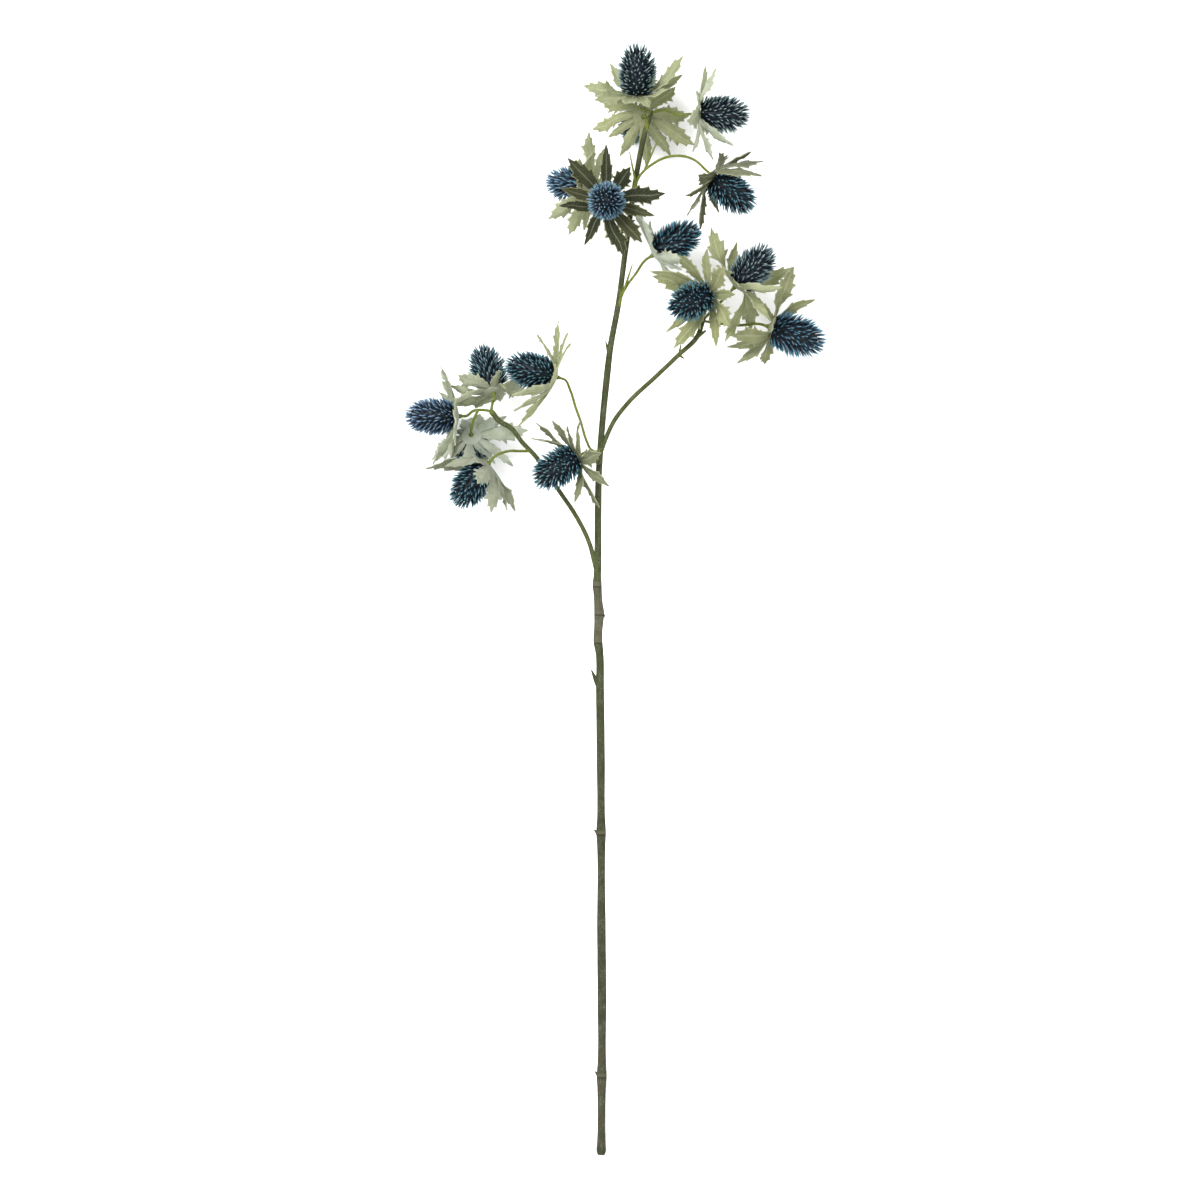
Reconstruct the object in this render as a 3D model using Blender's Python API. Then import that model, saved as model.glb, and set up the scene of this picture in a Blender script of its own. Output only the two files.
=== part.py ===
"""Sea holly stem, cut and lying on a surface: one branched stem with 16 spiny blue cones, each in a ruff of bracts.

X runs across the stem, Y along it towards the cones and Z up from the surface that it lies on. The origin is
under the middle of the whole spray.
"""

import math
import random

import bmesh
import bpy
from mathutils import Vector
from mathutils.bvhtree import BVHTree

MM = 0.001

# Places are read across and down in pixels of a straight view on the spray, and up in millimetres.
PIXEL = 0.75 * MM
MIDDLE_ACROSS = 615.5
MIDDLE_DOWN = 600.0

# Gap between pieces that touch
GAP = 0.3 * MM

# Flower cone
CORE_RADIUS = 9.8 * MM
CORE_HEIGHT = 32 * MM
WIDEST_AT = 0.42
CORE_TAPER = 0.6
SPINES_AROUND = 9
SPINE_ROWS = 9
SPINE_LENGTH = 6.6 * MM
SPINE_SWEEP = math.radians(26)
SWEEP_AT_TOP = math.radians(36)
SPINE_SPREAD = 0.14

# Ruff
RUFF_BRACTS = 10
RUFF_RADIUS = 8 * MM
RUFF_HALF = 1.5 * MM
BROAD_LENGTH = 40 * MM
NARROW_LENGTH = 36 * MM
RIB_HALF = (1.2 * MM, 0.7 * MM, 0.5 * MM)
RIB_AT = (0.0, 0.42, 0.72)
FOLD = 0.22
HIDDEN_LIFT = math.radians(12)
CURL = 1.35
SECTOR_SHARE = 0.46
FACINGS = (0.75, 0.4, 0.25, 0.0)
TWIST_FROM = 0.25
TWIST_OVER = 0.3

# Outline of one side of a bract: how far out along it, and how wide in millimetres
BROAD_EDGE = ((0.18, 4.4), (0.50, 8.8), (0.52, 5.6), (0.68, 7.2), (0.70, 4.2), (0.85, 4.0), (0.86, 1.8))
NARROW_EDGE = ((0.18, 3.6), (0.35, 5.0), (0.55, 4.7), (0.58, 3.6), (0.78, 2.7))

# A bract that would cross a neighbour takes the first of these changes of lift and length that is clear
LIFT_CHANGES = (0, -5, 5, -10, 10, -16, 16, -22, 22, -29, 29, -36, 36, -44, -52, -60)
LENGTH_SHARES = (1.0, 0.9, 0.8, 0.7, 0.6, 0.5, 0.4, 0.3)
CLEARANCE = 0.4 * MM
NEIGHBOURS_WITHIN = 105 * MM
LEAST_LIFT = math.radians(-68)
MOST_LIFT = math.radians(83)

# Each head: the ruff's middle, the way its cone points, the cone's size where it is a large one, how far its bracts
# twist to face up where that is less than most, and the tips of its broad and narrow bracts, each with its rise
# above the ruff's middle. Bracts on the hidden side are spaced out between these.
HEADS = (
    dict(
        base=(636.5, 95.5, 50), axis=(0.03, 0.95, 0.28), size=1.04,
        broad=((583.5, 85.5, 0), (679.6, 52, 10), (625.6, 105, 34)),
        narrow=((610, 62, -20), (683, 74, -5), (668, 90, 26)),
    ),
    dict(
        base=(643, 117, 38.6), axis=(-0.2, -0.25, -0.95),
        broad=((592, 128.5, -12), (601, 100, -12), (694.5, 144, -10), (689, 115, -12), (675.5, 86, -12)),
        narrow=((620, 155, -14), (610, 136, -16), (647, 167, -12), (671, 155, -14), (652, 94, -20)),
    ),
    dict(
        base=(698.5, 114, 50), axis=(1, 0, 0), facing=0.25,
        broad=((716, 69, 8), (687, 122, 34), (712.6, 160, 10)),
        narrow=((696, 92, 28), (733, 146, 18), (693, 151, -10), (703, 95, -20)),
    ),
    dict(
        base=(713, 176.5, 60), axis=(0.76, -0.65, 0), facing=0.25,
        broad=((763, 162, 6), (720, 152, -30), (695.5, 228, -4), (698, 177, 34)),
        narrow=((751, 152, -10), (762, 181, 16), (685, 197, 22), (687, 216, 12), (719, 212, -22)),
    ),
    dict(
        base=(589, 187, 44), axis=(-0.78, 0.13, -0.6), facing=0.25,
        broad=((589, 132, 5), (569, 235, 4), (548, 219, 10)),
        narrow=((595, 150, 22), (579, 159, 18), (577, 182, 14), (584, 229.5, -18)),
    ),
    dict(
        base=(607, 202.5, 64), axis=(-0.02, 0.03, 1),
        broad=((568, 159, 12), (630, 168, 18), (665, 194, 10), (642, 243, 12), (624, 257, 10)),
        narrow=((606, 145, 8), (654, 216.5, 14), (584.5, 245.5, 10), (559.5, 206.5, 10), (561, 189, 8)),
    ),
    dict(
        base=(655, 254, 55), axis=(0.85, 0.52, 0), facing=0.25,
        broad=((643, 220, 24), (681, 259, 28), (668, 284, -22)),
        narrow=((650, 221, -22), (682, 270, 12)),
    ),
    dict(
        base=(708, 293.5, 58), axis=(-0.70, -0.35, 0.62),
        broad=((679.5, 252, 8), (724, 268, 28), (730, 328, 14), (673, 349, 2), (650, 301, 14)),
        narrow=((707, 249, 2), (734.5, 295, 26), (716, 347, 2), (663, 326, 12), (650, 272, 10)),
    ),
    dict(
        base=(736.5, 285, 46), axis=(0.69, 0.73, 0),
        broad=((711, 227, 0), (794.5, 261, -24), (725, 342, 8), (751, 331, -10)),
        narrow=((745, 240, -16), (782, 288, 40), (770, 321, 28)),
    ),
    dict(
        base=(771, 327, 38.7), axis=(0.95, -0.3, 0), size=1.1,
        broad=((746.5, 291, 16), (794, 266, -4), (730, 335.5, 22), (765, 363, -24)),
        narrow=((779, 287, 16), (816, 299, -12), (727, 347, 6), (737, 363, -8)),
    ),
    dict(
        base=(493, 391, 47), axis=(-0.24, 0.87, -0.42),
        broad=((458, 375, 18), (500, 371, 32), (453, 404, 8)),
        narrow=((449, 385, -8), (507, 390, 34)),
    ),
    dict(
        base=(555, 377, 65), axis=(-0.97, 0.25, 0), facing=0.25,
        broad=((558, 321, -6), (537, 335, 18), (518, 427, -4)),
        narrow=((568, 333, 14), (571, 344, 22), (514, 411, 12), (507, 389.5, 20)),
    ),
    dict(
        base=(456.5, 416, 45), axis=(-1, 0, 0), facing=0.25,
        broad=((440, 365, 0), (432.5, 464, 14)),
        narrow=((446, 380, 22), (438, 391, -20)),
    ),
    dict(
        base=(471, 436, 37.1), axis=(0, -0.5, -0.86),
        broad=((418, 449, -6), (480, 414, -28), (528, 430, -10), (482, 461, -20)),
        narrow=((462, 418.5, -28), (506, 416, -18), (513, 466, -8), (464, 461, -24)),
    ),
    dict(
        base=(487, 465.5, 54), axis=(-0.63, -0.77, 0),
        broad=((478, 484, 32), (491, 513, 14), (427, 452, 0)),
        narrow=((507, 510, 0), (515, 511, -12), (445, 474, 12)),
    ),
    dict(
        base=(577, 457, 66), axis=(-0.82, -0.48, 0.3),
        broad=((536, 423.5, -2), (567, 427, 18), (601, 454, 28), (599, 508, -12)),
        narrow=((531.5, 439, 10), (552, 421, 10), (580.6, 420.5, 16), (609, 486.5, 22), (574.5, 503, 4)),
    ),
)

# Routes of the stem and its branches: across, down, height and radius, both in millimetres
MAIN_STEM = (
    (600.6, 1157, 3.3, 3.2), (600.5, 1085, 9.0, 3.1), (600.2, 1077, 9.6, 3.6), (600, 1069, 10.3, 3.05),
    (599.6, 950, 19, 3.1), (599.2, 841, 27, 3.1), (599, 833, 27.6, 3.6), (599, 825, 28.2, 3.05),
    (598.8, 760, 33, 3.15), (598.9, 690, 38, 3.15), (598.8, 640, 41, 3.1), (599, 590, 43.6, 2.9),
    (598.8, 584.5, 44, 3.45), (598.6, 579, 44.2, 2.95), (598, 560, 45, 2.7), (598, 520, 46, 2.5),
    (599, 470, 46.5, 2.45), (601, 440, 46.5, 2.4), (604.5, 400, 46.5, 2.4), (607, 376, 46.5, 2.55),
    (610, 350, 46.5, 2.4), (619, 300, 46.5, 2.25), (623.5, 265, 46.5, 2.1), (628, 232, 46.5, 2.0),
    (634.5, 187, 46.5, 1.95), (641, 150, 46.5, 2.05), (647, 125, 46.5, 1.95), (652, 112, 47, 1.6),
)
LEFT_BRANCH = (
    (598.6, 578, 44.2, 1.9), (595, 564, 45, 1.9), (590, 545, 45.5, 1.75), (573, 511, 45.5, 1.7),
    (562, 495, 44.5, 1.7), (545, 470, 43.5, 1.7), (537, 458, 43, 1.7), (522, 442, 43, 1.7),
    (510, 427, 43, 1.8), (500, 421.5, 43, 2.0), (491, 411, 43, 2.0),
)
RIGHT_BRANCH = (
    (600.5, 453, 46.5, 1.7), (606, 438, 47.5, 1.7), (614, 421, 48, 1.7), (627, 404, 49, 1.7),
    (657, 375.5, 50, 1.7), (679, 354.6, 50, 1.75), (697, 337, 50, 1.9), (704, 318, 49, 1.6),
)

# Each head's stalk, from where it leaves the stem; it ends square under the ruff
STALK_RADIUS = 1.0 * MM
STALK_END_RADIUS = 2.0 * MM
STALK_FLARE = 2 * MM
STALKS = (
    ((652, 112, 47), (644, 110, 47)),
    ((646.5, 131, 46.5), (646.5, 121, 46.8)),
    ((652, 112, 47), (666, 110, 48), (675, 114, 49)),
    ((634, 188, 46.5), (641, 174, 51), (652, 164.5, 54), (666, 157.5, 57), (680, 156, 59), (694, 160, 60)),
    ((629, 215, 46.5), (612, 199, 43)),
    ((628, 222, 46.5), (617, 212, 49)),
    ((618.6, 305, 46.5), (622, 295, 47), (627, 285.5, 48.5), (635.5, 274, 51)),
    ((703, 320, 49), (712, 309, 48)),
    ((703, 320, 49), (717, 306, 46)),
    ((703, 321, 49), (718, 323, 45), (738, 325, 41)),
    ((491, 411, 43), (492.7, 402, 44)),
    ((599, 452, 46.5), (591, 449.5, 50), (587, 442, 53.5), (580.5, 421, 58.5), (575, 407, 61.5), (568.5, 393, 64)),
    ((491, 411, 43), (483, 409.8, 43.8), (473.5, 410.6, 44.6)),
    ((478, 410, 44.2), (474, 419, 46.5)),
    ((530, 451, 43), (520, 451, 46), (509, 451, 50)),
    ((598.6, 462, 46.5), (594, 456, 55)),
)
APPROACH = 5 * MM

# Stubs and pointed leaflets on the stem: root and tip, with the root's and the tip's radius
STUBS = (
    ((599, 1079, 9.5), (594.6, 1073, 12), 1.2, 0.3),
    ((598, 835, 27.5), (593.8, 829, 30), 1.2, 0.3),
    ((597, 684, 38.4), (591.0, 671, 42), 1.5, 0.5),
    ((600, 619, 42.3), (604.6, 614, 44), 1.4, 0.8),
    ((598.6, 463, 46.5), (597.6, 462, 52.5), 2.1, 1.9),
    ((608.6, 353, 46.5), (605.6, 341, 48.5), 1.3, 0.4),
    ((679, 355, 50), (684, 358.5, 51), 1.1, 0.5),
    ((679, 354, 50), (681.5, 342, 53), 0.9, 0.2),
    ((697, 337, 50), (706, 330.5, 51.5), 1.6, 0.6),
    ((508, 426, 43), (513.5, 428.5, 45), 1.2, 0.6),
    ((624.5, 289, 48), (632.5, 264, 55), 1.0, 0.3),
    ((636, 184, 48.5), (629.5, 152, 56), 1.0, 0.3),
    ((645, 169, 51.5), (657.5, 141, 60), 1.0, 0.3),
)

# Distance between rings along the curved stretches
STEM_SPACING = 60 * MM
BRANCH_SPACING = 14 * MM
STALK_SPACING = 8 * MM

STEM_SIDES = 7
BRANCH_SIDES = 6
STALK_SIDES = 5
STUB_SIDES = 4

# Colour and roughness of each kind of piece
STEM_LOOK = ("stem", (0.105, 0.135, 0.062, 1), 0.75)
CONE_LOOK = ("cone", (0.018, 0.085, 0.15, 1), 0.5)
RUFF_LOOK = ("ruff", (0.36, 0.38, 0.2, 1), 0.85)


def place(across, down, height):
    return Vector(((across - MIDDLE_ACROSS) * PIXEL, (MIDDLE_DOWN - down) * PIXEL, height * MM))


def clear_scene():
    for old in list(bpy.data.objects):
        bpy.data.objects.remove(old)


def material(name, colour, roughness):
    made = bpy.data.materials.new(name)
    made.use_nodes = True
    shader = made.node_tree.nodes["Principled BSDF"]
    shader.inputs["Base Color"].default_value = colour
    shader.inputs["Roughness"].default_value = roughness
    shader.inputs["Metallic"].default_value = 0
    return made


def finished(name, bm, look):
    """Put the mesh in a named object with its own material."""
    bmesh.ops.recalc_face_normals(bm, faces=bm.faces)
    mesh = bpy.data.meshes.new(name)
    bm.to_mesh(mesh)
    bm.free()
    made = bpy.data.objects.new(name, mesh)
    bpy.context.scene.collection.objects.link(made)
    mesh.materials.append(look)
    return made


# Stem


def across_of(direction):
    """Two directions square to the given one."""
    guide = Vector((0, 0, 1)) if abs(direction.z) < 0.8 else Vector((1, 0, 0))
    side = direction.cross(guide).normalized()
    return side, side.cross(direction).normalized()


def smoothed(rows, spacing):
    """Rows of place and radius on a smooth curve through the given ones."""
    rows = [row.copy() for row in rows]
    ends = [rows[0] * 2 - rows[1]] + rows + [rows[-1] * 2 - rows[-2]]
    made = []
    for before, start, end, after in zip(ends, ends[1:], ends[2:], ends[3:]):
        steps = max(1, round((end - start).length / spacing))
        for k in range(steps):
            t = k / steps
            curve = start * 2 + (end - before) * t
            curve += (before * 2 - start * 5 + end * 4 - after) * t**2
            curve += (start * 3 - before - end * 3 + after) * t**3
            made.append(curve / 2)
    return made + [rows[-1]]


def tube(name, rows, sides, look):
    """A closed round tube along the rows, its rings kept from twisting."""
    bm = bmesh.new()
    points = [row.to_3d() for row in rows]
    radii = [row[3] for row in rows]
    rings = []
    side = None
    for i, point in enumerate(points):
        ahead = points[min(i + 1, len(points) - 1)]
        behind = points[max(i - 1, 0)]
        direction = (ahead - behind).normalized()
        if side is None:
            side = across_of(direction)[0]
        side = (side - direction * side.dot(direction)).normalized()
        other = direction.cross(side)
        ring = []
        for k in range(sides):
            turn = 2 * math.pi * k / sides
            out = side * math.cos(turn) + other * math.sin(turn)
            ring.append(bm.verts.new(point + out * radii[i]))
        rings.append(ring)
    for low, high in zip(rings, rings[1:]):
        for k in range(sides):
            n = (k + 1) % sides
            bm.faces.new((low[k], low[n], high[n], high[k]))
    bm.faces.new(rings[0][::-1])
    bm.faces.new(rings[-1])
    return finished(name, bm, look)


def row_at(point, radius):
    return Vector((*point, radius))


def branch(name, route, sides, spacing, look):
    rows = [row_at(place(*row[:3]), row[3] * MM) for row in route]
    return tube(name, smoothed(rows, spacing), sides, look)


def stalk(name, start, head, look):
    """A flower stalk that leaves the stem thin and ends square under the ruff."""
    base, axis = place(*head["base"]), Vector(head["axis"]).normalized()
    end = base - axis * (RUFF_HALF + GAP)
    points = [place(*point) for point in start] + [end - axis * APPROACH]
    rows = smoothed([row_at(point, STALK_RADIUS) for point in points], STALK_SPACING)
    rows.append(row_at(end - axis * STALK_FLARE, STALK_RADIUS))
    rows.append(row_at(end, STALK_END_RADIUS))
    return tube(name, rows, STALK_SIDES, look)


def stub(name, root, tip, root_radius, tip_radius, look):
    rows = [row_at(place(*root), root_radius * MM), row_at(place(*tip), tip_radius * MM)]
    return tube(name, rows, STUB_SIDES, look)


def union(whole, others):
    """Join the others to the first object by one Boolean on their collection, applied."""
    group = bpy.data.collections.new("joined")
    for other in others:
        group.objects.link(other)
    joint = whole.modifiers.new("union", "BOOLEAN")
    joint.operation = "UNION"
    joint.operand_type = "COLLECTION"
    joint.collection = group
    joint.solver = "EXACT"
    seen = whole.evaluated_get(bpy.context.evaluated_depsgraph_get())
    mesh = bpy.data.meshes.new_from_object(seen)
    whole.modifiers.clear()
    whole.data = mesh
    for other in others:
        bpy.data.objects.remove(other)
    bpy.data.collections.remove(group)


def make_stem():
    look = material(*STEM_LOOK)
    whole = branch("stem", MAIN_STEM, STEM_SIDES, STEM_SPACING, look)
    others = [
        branch("left", LEFT_BRANCH, BRANCH_SIDES, BRANCH_SPACING, look),
        branch("right", RIGHT_BRANCH, BRANCH_SIDES, BRANCH_SPACING, look),
    ]
    for i, (start, head) in enumerate(zip(STALKS, HEADS)):
        others.append(stalk(f"stalk_{i}", start, head, look))
    for i, row in enumerate(STUBS):
        others.append(stub(f"stub_{i}", *row, look))
    union(whole, others)
    whole.data.shade_smooth()
    whole.data.set_sharp_from_angle(angle=math.radians(50))
    return whole


# Cones


def core_radius(share):
    """The ovoid core's radius at a share of its height."""
    return CORE_RADIUS * math.sqrt(1 - ((share - WIDEST_AT) / CORE_TAPER) ** 2)


def cone_mesh(head, seed):
    """The core as a lattice of triangles, each raised to a spine that sweeps towards the cone's tip."""
    draw = random.Random(seed)
    base, axis, up, side = head_frame(head)
    foot = base + axis * (RUFF_HALF + GAP)
    size = head.get("size", 1)
    bm = bmesh.new()
    rings = []
    for row in range(SPINE_ROWS + 1):
        share = row / SPINE_ROWS
        ring = []
        for k in range(SPINES_AROUND):
            turn = 2 * math.pi * (k + row / 2) / SPINES_AROUND
            out = up * math.cos(turn) + side * math.sin(turn)
            ring.append(bm.verts.new(foot + (axis * CORE_HEIGHT * share + out * core_radius(share)) * size))
        rings.append(ring)
    cells = []
    for low, high in zip(rings, rings[1:]):
        for k in range(SPINES_AROUND):
            n = (k + 1) % SPINES_AROUND
            cells += [(low[k], low[n], high[k]), (low[n], high[n], high[k])]
    for cell in cells:
        middle = sum((corner.co for corner in cell), Vector()) / 3
        out = middle - foot
        height = out.dot(axis)
        out = (out - axis * height).normalized()
        sweep = SPINE_SWEEP + (height / CORE_HEIGHT) ** 2 * SWEEP_AT_TOP
        length = SPINE_LENGTH * size * draw.uniform(1 - SPINE_SPREAD, 1 + SPINE_SPREAD)
        tip = bm.verts.new(middle + (out * math.cos(sweep) + axis * math.sin(sweep)) * length)
        for k in range(3):
            bm.faces.new((cell[k], cell[(k + 1) % 3], tip))
    top = bm.verts.new(foot + axis * (CORE_HEIGHT + SPINE_LENGTH) * size)
    bottom = bm.verts.new(foot)
    for k in range(SPINES_AROUND):
        n = (k + 1) % SPINES_AROUND
        bm.faces.new((rings[-1][k], rings[-1][n], top))
        bm.faces.new((rings[0][n], rings[0][k], bottom))
    return bm


# Ruffs


def head_frame(head):
    """A head's middle, the way it points, and two directions square to that."""
    base, axis = place(*head["base"]), Vector(head["axis"]).normalized()
    side, up = across_of(axis)
    return base, axis, up, side


def angle_between(first, second):
    """Turn from the first angle to the second, from -180 to 180 degrees."""
    return (second - first + math.pi) % (2 * math.pi) - math.pi


def bract_from_tip(head, tip, broad):
    base, axis, up, side = head_frame(head)
    reach = place(tip[0], tip[1], 0) - place(head["base"][0], head["base"][1], 0) + Vector((0, 0, tip[2] * MM))
    return dict(
        turn=math.atan2(reach.dot(side), reach.dot(up)) % (2 * math.pi),
        lift=math.asin(reach.dot(axis) / reach.length),
        length=reach.length,
        broad=broad,
    )


def hidden_bract(bracts, broad):
    """One more bract in the widest gap between those there are, lifted more the further it is from the top."""
    turns = sorted(bract["turn"] for bract in bracts)
    gaps = [((turns[(i + 1) % len(turns)] - turns[i]) % (2 * math.pi), turns[i]) for i in range(len(turns))]
    gap, start = max(gaps)
    turn = (start + gap / 2) % (2 * math.pi)
    length = BROAD_LENGTH if broad else NARROW_LENGTH
    return dict(turn=turn, lift=HIDDEN_LIFT * (1 - math.cos(turn)) / 2, length=length, broad=broad)


def bracts_of(head):
    """All of a head's bracts in order round it, with the root of each on the ruff's rim."""
    bracts = [bract_from_tip(head, tip, True) for tip in head["broad"]]
    bracts += [bract_from_tip(head, tip, False) for tip in head["narrow"]]
    while len(bracts) < RUFF_BRACTS:
        broad_ones = sum(bract["broad"] for bract in bracts)
        bracts.append(hidden_bract(bracts, broad_ones < RUFF_BRACTS / 2))
    bracts.sort(key=lambda bract: bract["turn"])
    step = 2 * math.pi / RUFF_BRACTS
    first = bracts[0]["turn"]
    drift = [angle_between(first + step * i, bract["turn"]) for i, bract in enumerate(bracts)]
    start = first + sum(drift) / RUFF_BRACTS
    for i, bract in enumerate(bracts):
        bract["root"] = start + step * i
        bract["facing"] = head.get("facing", FACINGS[0])
    for i, bract in enumerate(bracts):
        before = bracts[i - 1]["turn"]
        after = bracts[(i + 1) % RUFF_BRACTS]["turn"]
        bract["room"] = min(abs(angle_between(before, bract["turn"])), abs(angle_between(bract["turn"], after)))
    return bracts


def on_bract(frame, bract, share):
    """The point of a bract's rib at a share of its length, with its direction across and its upper side."""
    base, axis, up, side = frame
    lift, length = bract["lift"], bract["length"]
    turn = bract["root"] + angle_between(bract["root"], bract["turn"]) * min(1, share * 1.5)
    out = up * math.cos(turn) + side * math.sin(turn)
    across = side * math.cos(turn) - up * math.sin(turn)
    reach = RUFF_RADIUS + (length * math.cos(lift) - RUFF_RADIUS) * share
    rise = length * math.sin(lift) * share**CURL
    along = out * math.cos(lift) + axis * math.sin(lift)
    level = Vector((0, 0, 1)).cross(along)
    if level.dot(across) < 0:
        level.negate()
    twist = max(0, min(1, (share - TWIST_FROM) / TWIST_OVER))
    across = across.lerp(level, bract["facing"] * twist * level.length)
    across = (across - along * across.dot(along)).normalized()
    upper = across.cross(along)
    if upper.dot(axis * math.cos(lift) - out * math.sin(lift)) < 0:
        upper.negate()
    return base + out * reach + axis * rise, across, upper, reach


def add_bract(bm, frame, bract, rim, thicker=0.0):
    """One bract with its upper and lower faces meeting along a toothed edge. The rim's two points and the rib's
    root points are shared with the ruff's middle."""
    step = math.pi / RUFF_BRACTS
    room_at_tip = bract["room"] * SECTOR_SHARE
    ribs = {}
    for share, half in zip(RIB_AT, RIB_HALF):
        point, across, upper, reach = on_bract(frame, bract, share)
        if share == 0:
            upper = frame[1]
        ribs[share] = [bm.verts.new(point + upper * (half + thicker)), bm.verts.new(point - upper * (half + thicker))]
    tip = bm.verts.new(on_bract(frame, bract, 1)[0])
    outline = BROAD_EDGE if bract["broad"] else NARROW_EDGE
    scale = min(1, bract["length"] / NARROW_LENGTH)
    for sign, root in ((1, rim[1]), (-1, rim[0])):
        edge = [(0, root)]
        for share, width in outline:
            point, across, upper, reach = on_bract(frame, bract, share)
            room = min(1, share * 1.5)
            half_sector = step * 0.92 * (1 - room) + room_at_tip * room
            wide = min(width * MM * scale, reach * math.tan(min(half_sector, 1.2)))
            edge.append((share, bm.verts.new(point + across * sign * wide + upper * wide * FOLD)))
        edge.append((1, tip))
        for layer in (0, 1):
            rib = [ribs[share][layer] for share in RIB_AT] + [tip]
            stops = list(RIB_AT) + [1]
            strip(bm, rib, stops, edge)
    return ribs[0]


def strip(bm, rib, stops, edge):
    """Triangles between a rib and an edge that share their last point."""
    i = j = 0
    while i < len(rib) - 2 or j < len(edge) - 1:
        along_rib = i < len(rib) - 2 and (j == len(edge) - 1 or stops[i + 1] <= edge[j + 1][0])
        if j >= len(edge) - 2 and i < len(rib) - 2:
            along_rib = True
        if along_rib:
            bm.faces.new((rib[i], rib[i + 1], edge[j][1]))
            i += 1
        else:
            bm.faces.new((rib[i], edge[j + 1][1], edge[j][1]))
            j += 1


def rim_points(bm, frame, bracts):
    base, axis, up, side = frame
    half_step = math.pi / RUFF_BRACTS
    points = []
    for bract in bracts:
        turn = bract["root"] - half_step
        points.append(bm.verts.new(base + (up * math.cos(turn) + side * math.sin(turn)) * RUFF_RADIUS))
    return points


def ruff_mesh(frame, bracts, count=RUFF_BRACTS):
    """The ruff's middle and its first bracts in one mesh, closed once it has them all."""
    bm = bmesh.new()
    rim = rim_points(bm, frame, bracts)
    top = bm.verts.new(frame[0] + frame[1] * RUFF_HALF)
    bottom = bm.verts.new(frame[0] - frame[1] * RUFF_HALF)
    for i, bract in enumerate(bracts[:count]):
        ends = (rim[i], rim[(i + 1) % RUFF_BRACTS])
        upper, lower = add_bract(bm, frame, bract, ends)
        for centre, middle in ((top, upper), (bottom, lower)):
            bm.faces.new((centre, ends[0], middle))
            bm.faces.new((centre, middle, ends[1]))
    return bm


def tree_from(bm):
    tree = BVHTree.FromBMesh(bm)
    bm.free()
    return tree


def trial_tree(frame, bract):
    """One bract alone, a little thick, to be tried against its neighbours."""
    bm = bmesh.new()
    rim = rim_points(bm, frame, [bract, dict(root=bract["root"] + 2 * math.pi / RUFF_BRACTS)])
    add_bract(bm, frame, bract, rim, CLEARANCE)
    return tree_from(bm)


def crosses_itself(bm):
    """Whether faces of the mesh that share no corner meet; the mesh is used up."""
    corners = [set(face.verts) for face in bm.faces]
    tree = BVHTree.FromBMesh(bm)
    crossed = any(not corners[i] & corners[k] for i, k in tree.overlap(tree) if i < k)
    bm.free()
    return crossed


def middle_tree(frame):
    """The ruff's middle alone, a little thick."""
    base, axis, up, side = frame
    bm = bmesh.new()
    ends = [bm.verts.new(base + axis * sign * (RUFF_HALF + CLEARANCE)) for sign in (1, -1)]
    turns = [2 * math.pi * k / RUFF_BRACTS for k in range(RUFF_BRACTS)]
    rim = [bm.verts.new(base + (up * math.cos(turn) + side * math.sin(turn)) * RUFF_RADIUS) for turn in turns]
    for end in ends:
        for k in range(RUFF_BRACTS):
            bm.faces.new((end, rim[k], rim[k - 1]))
    return tree_from(bm)


def bend_clear(frame, bracts, place_in_ruff, obstacles):
    """Give the bract the first length, lift and facing that keep it clear of what is near, and return its tree."""
    bract = bracts[place_in_ruff]
    wanted = dict(bract)
    for share in LENGTH_SHARES:
        for change in LIFT_CHANGES:
            for facing in [facing for facing in FACINGS if facing <= wanted["facing"]]:
                bract["length"] = wanted["length"] * share
                bract["lift"] = max(LEAST_LIFT, min(MOST_LIFT, wanted["lift"] + math.radians(change)))
                bract["facing"] = facing
                tree = trial_tree(frame, bract)
                if any(tree.overlap(other) for other in obstacles):
                    continue
                if not crosses_itself(ruff_mesh(frame, bracts, place_in_ruff + 1)):
                    return tree
    raise RuntimeError("a bract finds no clear place")


def tree_of(thing):
    bm = bmesh.new()
    bm.from_mesh(thing.data)
    return tree_from(bm)


def make_cones():
    look = material(*CONE_LOOK)
    return [finished(f"cone_{i:02d}", cone_mesh(head, i), look) for i, head in enumerate(HEADS, 1)]


def make_ruffs(stem, cones):
    look = material(*RUFF_LOOK)
    stem_tree = tree_of(stem)
    cone_trees = [tree_of(cone) for cone in cones]
    frames = [head_frame(head) for head in HEADS]
    settled = [[middle_tree(frame)] for frame in frames]
    for i, head in enumerate(HEADS):
        frame = frames[i]
        near = [n for n, other in enumerate(frames) if (other[0] - frame[0]).length < NEIGHBOURS_WITHIN]
        obstacles = [stem_tree] + [cone_trees[n] for n in near]
        obstacles += [tree for n in near if n != i for tree in settled[n]]
        bracts = bracts_of(head)
        for k in range(RUFF_BRACTS):
            settled[i].append(bend_clear(frame, bracts, k, obstacles))
        finished(f"ruff_{i + 1:02d}", ruff_mesh(frame, bracts), look)


def main():
    clear_scene()
    stem = make_stem()
    cones = make_cones()
    make_ruffs(stem, cones)


main()
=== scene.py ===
import math
import random

import bmesh
import bpy
import numpy as np
from bpy.props import FloatProperty, FloatVectorProperty, IntProperty, PointerProperty
from bpy.types import Operator, Panel, PropertyGroup
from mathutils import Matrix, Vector, noise
from mathutils.kdtree import KDTree


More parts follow.
